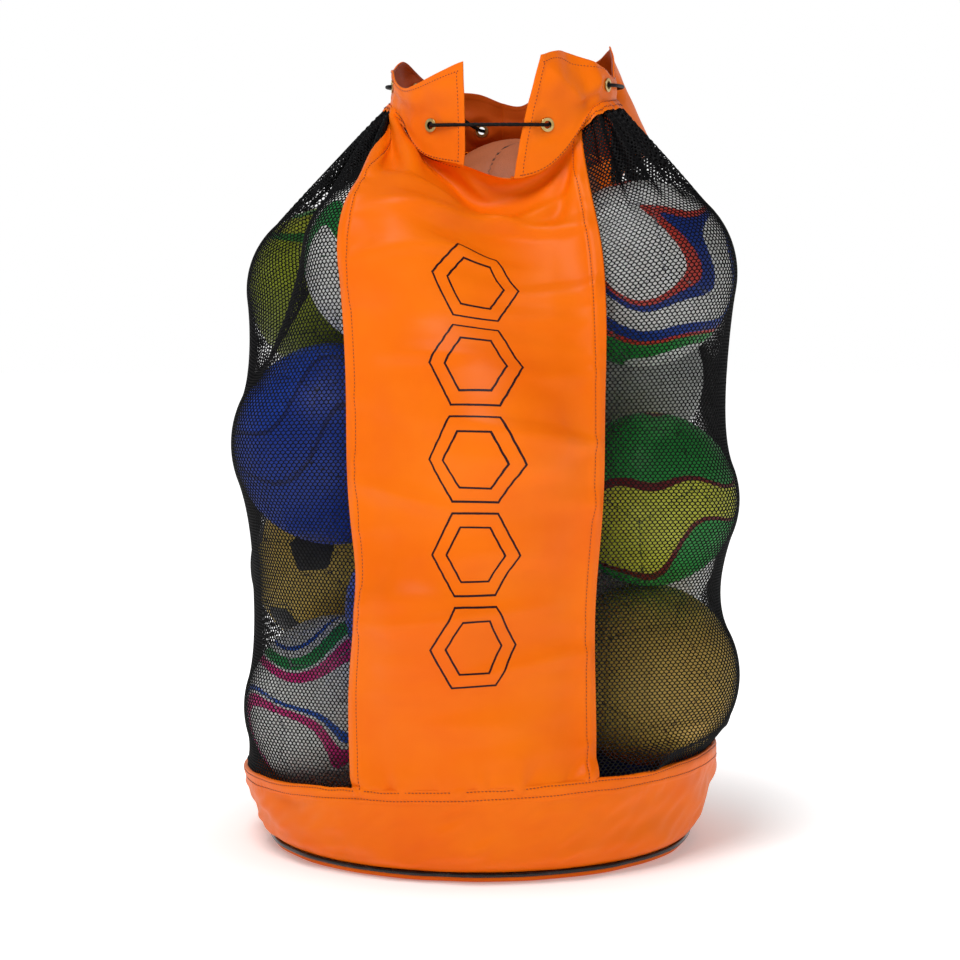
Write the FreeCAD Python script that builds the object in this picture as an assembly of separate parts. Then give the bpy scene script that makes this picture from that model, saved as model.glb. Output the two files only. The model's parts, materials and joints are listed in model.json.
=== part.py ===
import FreeCAD, Part
import math
import os
from FreeCAD import Vector

# Drawcord mesh ball bag, standing on its round base and filled with balls.
# Millimetres, +Z up, origin at the centre of the base's underside, front of the bag towards -Y.

# ---- driving dimensions ------------------------------------------------------------------------
WALL = 2.2                # thickness that stands for the coated nylon and the mesh
BASE_R = 240.5            # round base panel
BASE_RIM = 7.0            # height of the base panel's sewn rim
BASE_FLOOR = 4.5          # thickness of the base panel inside the rim
PIPING_R = 2.6            # radius of the piping cord in the base seam
BAND_LOW = 12.5           # lower edge of the band round the bottom
BAND_TOP = 106.0          # sewn top hem of the band
PANEL_LEFT = -148.0       # sewn edges of the front and back panels
PANEL_RIGHT = 138.0
NECK_X = 28.0             # the gathered neck stands a little to the right of the base's centre
NECK_Z = 785.0            # seam between bag and collar
COLLAR_TOP = 905.0
COLLAR_WALL = 1.6
CORD_Z = 820.0            # height of the drawcord's eyelets at the front and the back
SIDE_CORD_Z = 866.0       # height of the eyelets at the sides, where the collar rides up
CORD_R = 2.1              # radius of the drawcord
EYELETS = 8
SIDE_EYELETS = (1, 2, 5, 6)      # counted from 0 at the right front one, round by the back
EYELET_FIRST = -40.0      # angle of the left front eyelet, from the front, in degrees
FRONT_GAP = 61.0          # angle between the two front eyelets
EYELET_HOLE = 4.5         # radius of the eyelet's hole
EYELET_FLANGE = 7.75      # outer radius of the eyelet
CORNER_LOW = 840.0        # where a collar corner's crease meets the slit
CORNER_HIGH = 902.0       # where the crease meets the collar's top edge
LOCK_REST = 164.0         # cord lock's distance from the neck's axis
LOCK_CORD_Z = 806.0       # height of the tails in the cord lock
LOCK_TRAVEL_PRESS = 4.0
TAIL_EXIT = 198.0         # where the two tails leave the lock's run, from the neck's axis
TAIL_ASIDE = 2.6          # half the distance between the two tails in the lock
STRAP_X = 8.0             # centre line of the shoulder strap on the back
STRAP_W = 38.0
SLIDER_Z = 430.0
COVER = 4.0               # thickness of a ball's cover with its bladder

# Inner radius of the bag at each height: bulging over the balls, then drawn in to the neck
SIDE = [(BAND_TOP + 0.3, 270.0), (130, 280.0), (160, 291.0), (190, 297.5), (225, 299.8), (270, 300.0),
        (350, 300.0), (430, 300.0), (510, 300.0), (570, 299.5), (620, 297.0), (660, 292.5), (700, 282.5),
        (730, 267.5), (755, 243.0), (775, 195.0), (NECK_Z, 150.0)]
# How far the bag's centre line leans towards the neck at each height
LEAN = [(BAND_TOP, 3.0), (225, 8.0), (570, 8.0), (660, 14.0), (730, 20.0), (NECK_Z, NECK_X)]
# Outer radius of the collar, drawn in where the cord runs
COLLAR = [(785.4, 151.0), (800, 136.0), (810, 128.4), (882, 128.4), (COLLAR_TOP, 124.0)]

# Each ball: name, centre and radius, settled against its neighbours and the bag's wall
BALLS = [
    ("ball_left_low", (-162, -66, 164), 104), ("ball_left_mid", (-166, 88, 307), 104),
    ("ball_left_wide", (-164, -67, 464), 114), ("ball_left_high", (-172, 65, 633), 98),
    ("ball_left_shoulder", (-97, -115, 671), 98), ("ball_right_shoulder", (180, -86, 656), 104),
    ("ball_right_high", (167, 100, 530), 98), ("ball_right_mid", (191, -84, 403), 98),
    ("ball_right_low", (189, -62, 200), 104), ("ball_mouth", (45, 78, 700), 110),
    ("ball_front_low", (20, -162, 106), 100), ("ball_front_mid", (-50, -185, 292), 98),
    ("ball_front_high", (19, -192, 481), 100), ("ball_back_low_left", (-100, 126, 108), 102),
    ("ball_back_low_right", (119, 111, 108), 102), ("ball_back_mid", (12, 195, 269), 104),
    ("ball_back_high", (-64, 180, 464), 102), ("ball_back_right", (183, 99, 325), 98),
    ("ball_core", (11, -10, 353), 94),
]

Z_AXIS = Vector(0, 0, 1)
ORIGIN = Vector(0, 0, 0)


def save(name, shape):
    if not shape.isValid():
        raise ValueError(name + " is not a valid shape")
    shape.exportStep("parts/" + name + ".step")


def between(table, z):
    """Value at height z on a table of (height, value)."""
    for (z0, v0), (z1, v1) in zip(table, table[1:]):
        if z <= z1:
            return v0 + (v1 - v0) * max(0.0, z - z0) / (z1 - z0)
    return table[-1][1]


def radial(angle):
    """Unit vector outwards at an angle in degrees from the front, turning towards +X."""
    a = math.radians(angle)
    return Vector(math.sin(a), -math.cos(a), 0)


def around_neck(angle, rho, z, aside=0.0):
    """Point about the neck's axis, with an optional offset along the collar."""
    return Vector(NECK_X, 0, z) + radial(angle) * rho + radial(angle + 90) * aside


def disc(radius, z, height, x=0.0, y=0.0):
    return Part.makeCylinder(radius, height, Vector(x, y, z), Z_AXIS)


def slab(x0, x1, y0, y1, z0, z1):
    return Part.makeBox(x1 - x0, y1 - y0, z1 - z0, Vector(x0, y0, z0))


def turned(points, x):
    """Ring turned about a vertical axis at x, from (radius, height) corners."""
    corners = [Vector(x + r, 0, z) for r, z in points]
    face = Part.Face(Part.makePolygon(corners + corners[:1]))
    return face.revolve(Vector(x, 0, 0), Z_AXIS, 360)


def bag_solid(offset):
    """The bag's side as a filled solid, its inner surface moved out by offset."""
    rings = [Part.Wire(Part.makeCircle(r + offset, Vector(between(LEAN, z), 0, z))) for z, r in SIDE]
    return Part.makeLoft(rings, True, False)


def rounded_wire(points, radii):
    """Straight runs joined by tangent arcs, one radius for each inner point."""
    edges, start = [], points[0]
    for i in range(1, len(points) - 1):
        here = points[i]
        back = (points[i - 1] - here).normalize()
        ahead = (points[i + 1] - here).normalize()
        half = (math.pi - back.getAngle(ahead)) / 2
        trim = radii[i - 1] * math.tan(half)
        enter, leave = here + back * trim, here + ahead * trim
        middle = (back + ahead).normalize()
        top = here + middle * (radii[i - 1] / math.cos(half) - radii[i - 1])
        edges.append(Part.LineSegment(start, enter).toShape())
        edges.append(Part.Arc(enter, top, leave).toShape())
        start = leave
    edges.append(Part.LineSegment(start, points[-1]).toShape())
    return Part.Wire(edges)


def cord_solid(name, points, radii):
    path = rounded_wire(points, radii)
    section = Part.Wire(Part.makeCircle(CORD_R, points[0], points[1] - points[0]))
    solid = path.makePipeShell([section], True, False)
    expected = math.pi * CORD_R ** 2 * path.Length
    print("%s: length %.0f mm, volume ratio %.4f" % (name, path.Length, solid.Volume / expected))
    return solid


# ---- base: panel, piping in the seam, and the band ---------------------------------------------
def base():
    panel = disc(BASE_R, 0, BASE_RIM)
    edge = [e for e in panel.Edges if e.BoundBox.ZMax < 0.01]
    panel = panel.makeFillet(5.0, edge)
    save("base_panel", panel.cut(disc(BASE_R - 12, BASE_FLOOR, BASE_RIM)))

    piping_z = BASE_RIM + PIPING_R + 0.1
    save("base_piping", Part.makeTorus(BASE_R + 2.0, PIPING_R, Vector(0, 0, piping_z), Z_AXIS))

    def side(offset):
        low = Vector(BASE_R - 0.5 + offset, 0, BAND_LOW)
        mid = Vector(258.0 + offset, 0, 60)
        high = Vector(SIDE[0][1] + offset, 0, BAND_TOP)
        return Part.Arc(low, mid, high).toShape()

    inner, outer = side(0), side(WALL)
    bottom = Part.makeLine(inner.Vertexes[0].Point, outer.Vertexes[0].Point)
    top = Part.makeLine(outer.Vertexes[1].Point, inner.Vertexes[1].Point)
    ring = Part.Face(Part.Wire([inner, top, outer, bottom])).revolve(ORIGIN, Z_AXIS, 360)
    save("base_band", ring)


# ---- sides: front and back panels with mesh between them ---------------------------------------
def sides():
    shell = bag_solid(WALL).cut(bag_solid(0))
    big = 400
    save("front_panel", shell.common(slab(PANEL_LEFT, PANEL_RIGHT, -big, 0, 0, 2 * big)))
    save("back_panel", shell.common(slab(PANEL_LEFT, PANEL_RIGHT, 0, big, 0, 2 * big)))
    save("left_mesh", shell.common(slab(-big, PANEL_LEFT, -big, big, 0, 2 * big)))
    save("right_mesh", shell.common(slab(PANEL_RIGHT, big, -big, big, 0, 2 * big)))


# ---- collar, its two free corners beside the slit, and the eyelets -----------------------------
def eyelet_angles():
    step = (360.0 - FRONT_GAP) / (EYELETS - 1)
    return [EYELET_FIRST + FRONT_GAP + step * i for i in range(EYELETS)]


def eyelet_heights():
    return [SIDE_CORD_Z if i in SIDE_EYELETS else CORD_Z for i in range(EYELETS)]


def corner_prism(angle, towards_slit, drop):
    """Wedge above a corner's crease, seen along the radius at this angle."""
    reach = 44.0
    points = [(reach, CORNER_LOW - drop), (-reach, CORNER_HIGH - drop), (-reach, 925), (reach + 14, 925),
              (reach + 14, CORNER_LOW - drop)]
    corners = [around_neck(angle, 60, z, towards_slit * t) for t, z in points]
    return Part.Face(Part.makePolygon(corners + corners[:1])).extrude(radial(angle) * 110)


def collar():
    inner = [(r - COLLAR_WALL, z) for z, r in reversed(COLLAR)]
    ring = turned([(r, z) for z, r in COLLAR] + inner, NECK_X)
    slit = [Vector(-14, 0, 780), Vector(35, 0, 780), Vector(66, 0, 915), Vector(-16, 0, 915)]
    ring = ring.cut(Part.Face(Part.makePolygon(slit + slit[:1])).extrude(Vector(0, -200, 0)))
    for number, (angle, z) in enumerate(zip(eyelet_angles(), eyelet_heights()), 1):
        out = radial(angle)
        ring = ring.cut(Part.makeCylinder(5.4, 40, around_neck(angle, 110, z), out))
        flange = Part.makeCylinder(EYELET_FLANGE, 1.0, around_neck(angle, 128.5, z), out)
        flange = flange.makeFillet(0.45, [e for e in flange.Edges if len(e.Vertexes) == 1])
        barrel = Part.makeCylinder(5.2, 3.0, around_neck(angle, 125.6, z), out)
        hole = Part.makeCylinder(EYELET_HOLE, 20, around_neck(angle, 120, z), out)
        save("eyelet_%d" % number, flange.fuse(barrel).cut(hole).removeSplitter())
        washer = Part.makeCylinder(7.6, 0.8, around_neck(angle, 125.5, z), out)
        bore = Part.makeCylinder(5.25, 20, around_neck(angle, 120, z), out)
        save("eyelet_washer_%d" % number, washer.cut(bore))
    for name, angle, towards_slit in (("collar_corner_left", -41, 1), ("collar_corner_right", 31, -1)):
        save(name, ring.common(corner_prism(angle, towards_slit, 0)))
        ring = ring.cut(corner_prism(angle, towards_slit, 0.5))
    save("collar", ring)


# ---- drawcord: one length through every eyelet, both ends through the lock at the back ---------
def drawcord():
    mid = COLLAR[2][1] - COLLAR_WALL / 2
    stand_off = 7.0
    lead = math.degrees(stand_off * math.tan(math.radians(30)) / mid)
    angles, heights = eyelet_angles(), eyelet_heights()
    turn = [(angles[i % EYELETS] + 360 * (i // EYELETS), heights[i % EYELETS]) for i in range(4, 4 + EYELETS)]
    back = (angles[3] + angles[4]) / 2

    def lead_in(side):
        return [around_neck(back, rho, LOCK_CORD_Z, side * TAIL_ASIDE) for rho in (TAIL_EXIT, 141)]

    points, radii = lead_in(1), [10]
    outward = -1
    points.append(around_neck(turn[0][0] - lead, mid + stand_off, CORD_Z))
    radii.append(6.5)
    for (a, low), (b, high) in zip(turn, turn[1:]):
        rho = mid + outward * stand_off
        points.append(around_neck(a + lead, rho, low))
        for share in (0.34, 0.67):
            points.append(around_neck(a + (b - a) * share, rho + outward, low + (high - low) * share))
        points.append(around_neck(b - lead, rho, high))
        radii += [6.5, 60, 60, 6.5]
        outward = -outward
    points.append(around_neck(turn[-1][0] + lead, mid + stand_off, CORD_Z))
    points += list(reversed(lead_in(-1)))
    radii += [6.5, 10]
    save("drawcord", cord_solid("drawcord", points, radii))


# ---- tails: the cord's two free ends past the lock, lying over the bag's shoulder, each knotted ----
def tails():
    angles = eyelet_angles()
    back = (angles[3] + angles[4]) / 2
    for name, side in (("right", 1), ("left", -1)):
        spots = [(TAIL_EXIT, LOCK_CORD_Z, TAIL_ASIDE), (216, LOCK_CORD_Z, TAIL_ASIDE), (237, 797, 4.0),
                 (255, 780, 6.5), (269, 759, 9.0), (279, 735, 12.0), (287, 711, 15.0)]
        points = [around_neck(back, rho, z, side * t) for rho, z, t in spots]
        radii = []
        for before, here, after in zip(points, points[1:], points[2:]):
            turn = (here - before).getAngle(after - here)
            shorter = min(before.distanceToPoint(here), here.distanceToPoint(after))
            radii.append(0.45 * shorter / math.tan(turn / 2))
        print("tail radii", [round(r) for r in radii])
        cord = cord_solid("tail_" + name, points, radii)
        save("tail_" + name, cord)
        along = (points[-1] - points[-2]).normalize()
        save("tail_knot_" + name, Part.makeSphere(5.6, points[-1] + along * 4.6).cut(cord))


# ---- cord lock: barrel, sprung button and spring ------------------------------------------------
def cord_lock():
    angles = eyelet_angles()
    back = (angles[3] + angles[4]) / 2
    spot = around_neck(back, LOCK_REST, 0)
    x, y = spot.x, spot.y
    turn = back - 180.0

    def window(half, low, high):
        box = slab(x - half, x + half, y - 20, y + 20, low, high)
        box.rotate(spot, Z_AXIS, turn)
        return box

    barrel = disc(10, 790.5, 23.5, x, y)
    barrel = barrel.makeFillet(1.2, [e for e in barrel.Edges if len(e.Vertexes) == 1])
    barrel = barrel.cut(disc(7.7, 793, 30, x, y))
    save("lock_barrel", barrel.cut(window(5.2, LOCK_CORD_Z - 2.5, LOCK_CORD_Z + 2.5)))
    head = disc(9, 818.5, 4, x, y)
    head = head.makeFillet(1.2, [e for e in head.Edges if len(e.Vertexes) == 1])
    plunger = disc(7.5, 800.8, 18.2, x, y)
    plunger = plunger.cut(window(5.2, LOCK_CORD_Z - 2.5, LOCK_CORD_Z + 2.5 + LOCK_TRAVEL_PRESS))
    save("lock_button", head.fuse(plunger))
    coil = Part.makeHelix(1.9, 6.7, 4.6)
    coil.translate(Vector(x, y, 793.5))
    wire_end = Part.Wire(Part.makeCircle(0.35, Vector(x + 4.6, y, 793.5), Vector(0, 1, 0)))
    save("lock_spring", Part.Wire(coil.Edges).makePipeShell([wire_end], True, True))


# ---- shoulder strap on the back: webbing, two sewn patches and an adjusting slider --------------
def strap():
    lift = WALL + 3.9
    half = STRAP_W / 2
    cover = bag_solid(lift + 1.5).cut(bag_solid(lift))
    save("strap_webbing", cover.common(slab(STRAP_X - half, STRAP_X + half, 0, 400, 140, 690)))
    patch = bag_solid(lift - 0.1).cut(bag_solid(WALL + 0.3))
    for name, low, high in (("strap_patch_top", 630, 700), ("strap_patch_bottom", 130, 190)):
        save(name, patch.common(slab(STRAP_X - half - 6, STRAP_X + half + 6, 0, 400, low, high)))
    face = SIDE[5][1] + WALL
    frame = slab(STRAP_X - 25, STRAP_X + 25, face + 0.4, face + 8.2, SLIDER_Z - 15, SLIDER_Z + 15)
    frame = frame.makeFillet(1.5, frame.Edges)
    frame = frame.cut(slab(STRAP_X - 20.5, STRAP_X + 20.5, face + 2.9, face + 6.1, 300, 600))
    for low in (SLIDER_Z - 11, SLIDER_Z + 3):
        frame = frame.cut(slab(STRAP_X - 19, STRAP_X + 19, face + 4, face + 20, low, low + 8))
    save("strap_slider", frame)


# ---- the load: hollow balls, each a cover over its bladder --------------------------------------
def balls():
    for name, centre, radius in BALLS:
        at = Vector(*centre)
        save(name, Part.makeSphere(radius, at).cut(Part.makeSphere(radius - COVER, at)))


base()
sides()
collar()
drawcord()
tails()
cord_lock()
strap()
balls()
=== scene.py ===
import json
import math
import bmesh
import bpy
import numpy as np
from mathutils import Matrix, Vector


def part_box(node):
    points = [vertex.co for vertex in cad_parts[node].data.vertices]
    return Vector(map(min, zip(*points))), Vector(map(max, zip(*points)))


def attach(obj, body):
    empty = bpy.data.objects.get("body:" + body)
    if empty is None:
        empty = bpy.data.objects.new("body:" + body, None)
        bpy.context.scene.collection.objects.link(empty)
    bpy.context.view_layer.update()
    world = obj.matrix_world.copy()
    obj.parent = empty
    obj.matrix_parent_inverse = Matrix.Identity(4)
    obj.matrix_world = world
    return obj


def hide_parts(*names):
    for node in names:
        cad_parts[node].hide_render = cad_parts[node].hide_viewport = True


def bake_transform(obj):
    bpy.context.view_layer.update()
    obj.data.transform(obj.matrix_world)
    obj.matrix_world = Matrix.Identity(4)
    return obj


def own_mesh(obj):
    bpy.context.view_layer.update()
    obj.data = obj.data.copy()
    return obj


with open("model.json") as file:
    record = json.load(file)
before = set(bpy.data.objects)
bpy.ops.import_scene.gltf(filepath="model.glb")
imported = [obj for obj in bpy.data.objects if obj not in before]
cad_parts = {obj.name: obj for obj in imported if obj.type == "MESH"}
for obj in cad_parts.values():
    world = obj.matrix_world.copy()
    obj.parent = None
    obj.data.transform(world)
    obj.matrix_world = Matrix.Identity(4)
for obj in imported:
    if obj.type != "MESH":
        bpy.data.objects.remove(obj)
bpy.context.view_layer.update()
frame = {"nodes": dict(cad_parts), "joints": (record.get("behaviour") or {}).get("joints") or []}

# ---- sizes ---------------------------------------------------------------------------------------
PANEL_WIDE = 0.288        # front and back panels between their seams
NET_WIDE = 0.520          # each mesh side as it was cut; it stretches over the balls
BASE_ROUND = 1.560        # girth of the band at the base seam
BAND_ROUND = 1.715        # and at its hem
BAND_TALL = 0.098
SIDE_TALL = 0.765         # from the band's hem to the neck seam
SEAM_DROP = (0.35, 0.50)  # the panels are cut shorter where the neck seam dips: all along, and near the neck
WALL_TALL = BAND_TALL + SIDE_TALL
HEM_SHARE = BAND_TALL / WALL_TALL
BALL_GAP = 0.0022         # the wall's threads stay this far off a ball's cover
NYLON = 0.0009            # thickness of the coated nylon
STITCH_PITCH = 0.0040
NECK_X = 0.028            # the neck's axis
COLLAR_MEAN = 0.13        # mean distance of the collar from that axis
EYELET_RHO = 0.1274       # distance of the collar from that axis at the eyelets
FRONT_EDGES = (-31.0, 28.0)      # the panels' sewn edges, round the bag
BACK_EDGES = (150.0, 210.0)
NECK_EDGES = (-78.0, 43.0, 118.0, 242.0)   # where those edges reach the gathered neck
# Neck seam: angle, height, distance from the neck's axis
NECK_SEAM = [
    (-180, .790, .146), (-168, .790, .145), (-150, .800, .145), (-138, .815, .140), (-125, .838, .131),
    (-110, .846, .129), (-95, .846, .129), (-78, .842, .130), (-70, .836, .130), (-58, .818, .131),
    (-50, .800, .132), (-19, .778, .134), (7, .764, .135), (20, .775, .134), (31, .798, .133),
    (40, .822, .131), (52, .842, .130), (64, .846, .1285), (92, .846, .129), (106, .836, .138),
    (117, .808, .192), (126, .792, .210), (136, .788, .203), (149, .786, .170), (162, .788, .150)]
# Collar above it: angle; distance at the cord's height; then height and distance of its middle and top
COLLAR = [
    (-180, .1274, .836, .127, .852, .126), (-168, .1274, .842, .127, .862, .127),
    (-150, .1300, .850, .131, .866, .130), (-138, .1310, .862, .131, .874, .130),
    (-125, .1274, .876, .128, .887, .126), (-113, .1274, .882, .129, .897, .126),
    (-98, .1274, .876, .129, .887, .127), (-83, .1274, .875, .1285, .883, .128),
    (-70, .1285, .860, .130, .869, .129), (-58, .1300, .850, .132, .862, .132),
    (-40, .1274, .848, .131, .872, .133), (-30, .1300, .852, .134, .880, .137),
    (-19, .1340, .855, .137, .889, .139), (10, .1300, .860, .133, .893, .133),
    (17, .1285, .862, .132, .896, .132), (24, .1278, .870, .132, .900, .132),
    (32, .1290, .866, .1330, .902, .130), (40, .1290, .856, .133, .900, .127),
    (52, .1275, .866, .1310, .893, .122), (64, .1274, .876, .128, .885, .122),
    (76, .1274, .872, .126, .878, .122), (88, .1274, .872, .127, .877, .125),
    (97, .1274, .876, .128, .888, .127), (106, .1300, .884, .1285, .908, .128),
    (113, .1500, .882, .143, .915, .132), (120, .1740, .876, .160, .912, .141),
    (128, .1810, .868, .166, .903, .143), (138, .1620, .858, .151, .889, .135),
    (149, .1274, .846, .128, .874, .127), (160, .1274, .842, .127, .863, .126),
    (171, .1274, .834, .127, .849, .126)]
LEFT_SLIT, RIGHT_SLIT = -19.5, 17.0       # edges of the collar's slit, at its top
FLAP_CREASE = ((19.0, .889), (40.0, .846))     # diagonal crease of the right flap: angle, height
FLAP_LEAN = 0.58          # slope of the flap beyond the crease, in towards the neck
SLIT_LEAN = 13.3          # how far the right edge leans back towards the left at the seam


# ---- reading sizes from the frame ----------------------------------------------------------------
def span_of(node):
    low, high = (np.array(c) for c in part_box(node))
    return (low + high) / 2, high - low


def ball_of(node):
    middle, span = span_of(node)
    return middle, float(span.max() / 2)


BALLS = {n: ball_of(n) for n in sorted(frame["nodes"]) if n.startswith("ball_")}


def joint_named(name):
    return next(joint for joint in frame["joints"] if joint["name"] == name)


def eyelet_spots():
    """Angle and height of each eyelet, in the order of the nodes."""
    spots = []
    for number in range(1, 9):
        x, y, z = span_of("eyelet_%d" % number)[0]
        spots.append((math.degrees(math.atan2(x - NECK_X, -y)), float(z)))
    return spots


EYELETS = eyelet_spots()


# ---- curves, noise and points about the bag ------------------------------------------------------
def curve_through(x, knots, values):
    """Smooth curve through values at the knots; values may hold a column for each x."""
    knots, values = np.asarray(knots, float), np.asarray(values, float)
    slopes = np.gradient(values, knots, axis=0)
    x = np.clip(np.asarray(x, float), knots[0], knots[-1])
    i = np.clip(np.searchsorted(knots, x, "right") - 1, 0, len(knots) - 2)
    wide = knots[i + 1] - knots[i]
    t = (x - knots[i]) / wide
    if values.ndim > 1:
        here = np.arange(x.size)
        a, b, ma, mb = values[i, here], values[i + 1, here], slopes[i, here], slopes[i + 1, here]
    else:
        a, b, ma, mb = values[i], values[i + 1], slopes[i], slopes[i + 1]
    return (a * (1 + 2 * t) * (1 - t) ** 2 + b * t * t * (3 - 2 * t)
            + wide * (ma * t * (1 - t) ** 2 - mb * t * t * (1 - t)))


def soft_noise(x, y, seed, size, count=14, stretch=(1.0, 1.0)):
    """Smooth noise about 0, its waves about size long; stretch makes them longer along x or y."""
    rng = np.random.default_rng(seed)
    total = np.zeros(np.broadcast(x, y).shape)
    for wave in range(count):
        turn, k, phase = rng.uniform(0, math.pi), rng.uniform(0.6, 1.6), rng.uniform(0, 2 * math.pi)
        kx, ky = k * math.cos(turn) / stretch[0], k * math.sin(turn) / stretch[1]
        total = total + np.sin(2 * math.pi * (kx * x + ky * y) / size + phase)
    return total / math.sqrt(count)


def smooth_step(x, low, high):
    t = np.clip((x - low) / (high - low), 0, 1)
    return t * t * (3 - 2 * t)


def wrapped(angle):
    return (np.asarray(angle, float) + 180) % 360 - 180


def about_neck(angle, rho, z):
    t = np.radians(angle)
    return np.stack(np.broadcast_arrays(NECK_X + rho * np.sin(t), -rho * np.cos(t), z), -1)


def round_curve(angle, table, column):
    """A column of an angle table at any angle, smooth all the way round."""
    rows = np.array(table)
    knots = np.concatenate([rows[-3:, 0] - 360, rows[:, 0], rows[:3, 0] + 360])
    values = np.concatenate([rows[-3:, column], rows[:, column], rows[:3, column]])
    return curve_through(wrapped(angle), knots, values)


def neck_point(angle):
    return about_neck(angle, round_curve(angle, NECK_SEAM, 2), round_curve(angle, NECK_SEAM, 1))


def ring_of(angle, radius, z, x=0.0):
    t = np.radians(angle)
    return np.stack([x + radius * np.sin(t), -radius * np.cos(t), z + 0 * t], -1)


# ---- the bag's wall, draped over the balls -------------------------------------------------------
def first_shape(columns, rows):
    angle = -180 + 360 * np.arange(columns) / columns
    turn = (angle + 150) % 360 - 150
    at_neck = np.interp(turn, [BACK_EDGES[1] - 360, *FRONT_EDGES, *BACK_EDGES],
                        [NECK_EDGES[3] - 360, *NECK_EDGES])
    top = neck_point(at_neck)
    shoulder = ring_of(angle, 0.300, 0.64, 0.010)
    slope = np.concatenate([shoulder[:, :2] * 0.55 + top[:, :2] * 0.45,
                            shoulder[:, 2:] * 0.25 + top[:, 2:] * 0.75], 1)
    hem = ring_of(angle, 0.2705, 0.0, 0.000)
    hem[:, 2] = 0.095 + 0.011 * np.cos(np.radians(angle)) + 0.013 * np.sin(np.radians(angle))
    rings = [ring_of(angle, 0.2425, 0.0115), hem, ring_of(angle, 0.298, 0.180, 0.005), shoulder, slope, top]
    spans = [np.linalg.norm(b - a, axis=1) for a, b in zip(rings, rings[1:])]
    reach = np.cumsum([np.zeros(columns)] + spans, axis=0)
    points = np.zeros((rows + 1, columns, 3))
    for i, v in enumerate(np.linspace(0, 1, rows + 1)):
        if v <= HEM_SHARE:
            s = reach[1] * v / HEM_SHARE
        else:
            s = reach[1] + (reach[-1] - reach[1]) * (v - HEM_SHARE) / (1 - HEM_SHARE)
        for k in range(5):
            inside = (s >= reach[k] - 1e-12) & (s <= reach[k + 1] + 1e-12)
            t = ((s - reach[k]) / spans[k])[:, None]
            points[i] = np.where(inside[:, None], rings[k] * (1 - t) + rings[k + 1] * t, points[i])
    return points


def pull(a, b, wa, wb, rest, stiff, push_only=False):
    """Moves for the two ends of a thread that should keep its rest length."""
    d = b - a
    length = np.sqrt((d * d).sum(-1)) + 1e-12
    error = (length - rest) / length
    if push_only:
        error = np.minimum(error, 0)
    move = (stiff * error)[..., None] * d / np.maximum(wa + wb, 1e-9)
    return move * wa, -move * wb


def drape(points, steps, inner, keep_speed, gravity, noise=0.0):
    rows, columns = points.shape[0] - 1, points.shape[1]
    v = np.linspace(0, 1, rows + 1)[:, None]
    angle = -180 + 360 * np.arange(columns) / columns
    front = (angle >= FRONT_EDGES[0]) & (angle <= FRONT_EDGES[1])
    back = (angle >= BACK_EDGES[0]) | (angle <= BACK_EDGES[1] - 360)
    coated = (front | back)[None, :]
    share = 360 / columns
    cloth = np.where(coated, PANEL_WIDE / 60 * share, NET_WIDE / 120 * share)
    taper = np.where(coated, np.interp(v, [0.8, 1], [1, 0.93]), np.interp(v, [0.74, 1], [1, 0.70]))
    girth = np.interp(v, [0, HEM_SHARE], [BASE_ROUND, BAND_ROUND])
    wide = np.where(v < HEM_SHARE, girth / columns, cloth * taper)
    stiff = np.where((v < HEM_SHARE) | coated, 0.25, 0.05)
    free = np.ones((rows + 1, columns, 1))
    hem = int(round(HEM_SHARE * rows))
    free[0] = free[hem] = free[-1] = 0
    speed = np.zeros_like(points)
    if noise:
        points[1:-1] += np.random.default_rng(3).normal(0, noise, points[1:-1].shape)
    evens = (np.arange(0, columns, 2), np.arange(1, columns, 2))
    dip = (max(z for a, z, r in NECK_SEAM) - points[-1, :, 2])[None] / SIDE_TALL
    shorter = dip * (SEAM_DROP[0] + SEAM_DROP[1] * smooth_step(v[:-1], 0.60, 0.78) / 0.35)
    band = np.linalg.norm(points[hem] - points[0], axis=1)[None] * 1.008 / hem
    tall = np.where(v[:-1] < HEM_SHARE, band, WALL_TALL / rows * (1 - shorter))
    slant = np.sqrt(wide[:-1] ** 2 + tall * tall)
    near = None
    for step in range(steps):
        before = points.copy()
        points = points + speed * keep_speed * free
        points[:, :, 2] -= gravity * free[:, :, 0]
        if step % 15 == 0:
            flat = points.reshape(-1, 3)
            near = [(c, r, np.nonzero(np.abs(flat - c).max(1) < r + 0.03)[0]) for c, r in BALLS.values()]
        for inside in range(inner):
            for here in evens:
                after = (here + 1) % columns
                a, b = pull(points[:, here], points[:, after], free[:, here], free[:, after], wide[:, here],
                            1.0)
                points[:, here] += a
                points[:, after] += b
            for s in (0, 1):
                low, high = points[s:-1:2], points[s + 1::2]
                n = min(len(low), len(high))
                fl, fh = free[s:-1:2][:n], free[s + 1::2][:n]
                a, b = pull(low[:n], high[:n], fl, fh, tall[s::2][:n], 1.0)
                low[:n] += a
                high[:n] += b
                for side in (-1, 1):
                    a, b = pull(low[:n], np.roll(high[:n], side, 1), fl, np.roll(fh, side, 1),
                                slant[s::2][:n], 0.35)
                    low[:n] += a
                    high[:n] += np.roll(b, -side, 1)
            if inside % 2 == 0:
                for far, share in ((2, 0.5), (5, 0.175)):
                    a, b = pull(points, np.roll(points, -far, 1), free, np.roll(free, -far, 1), far * wide,
                                stiff * share, True)
                    points = points + a + np.roll(b, far, 1)
                    a, b = pull(points[:-far], points[far:], free[:-far], free[far:],
                                far * tall[:rows + 1 - far],
                                stiff[:-far] * share, True)
                    points[:-far] += a
                    points[far:] += b
            flat = points.reshape(-1, 3)
            weight = free.reshape(-1, 1)
            for centre, radius, some in near:
                out = flat[some] - centre
                far_off = np.sqrt((out * out).sum(1))
                touch = far_off < radius + BALL_GAP
                if touch.any():
                    hit = some[touch]
                    lift = ((radius + BALL_GAP - far_off[touch]) / far_off[touch])[:, None]
                    flat[hit] += out[touch] * lift * weight[hit]
            points = flat.reshape(points.shape)
        speed = points - before
    return points


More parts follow.
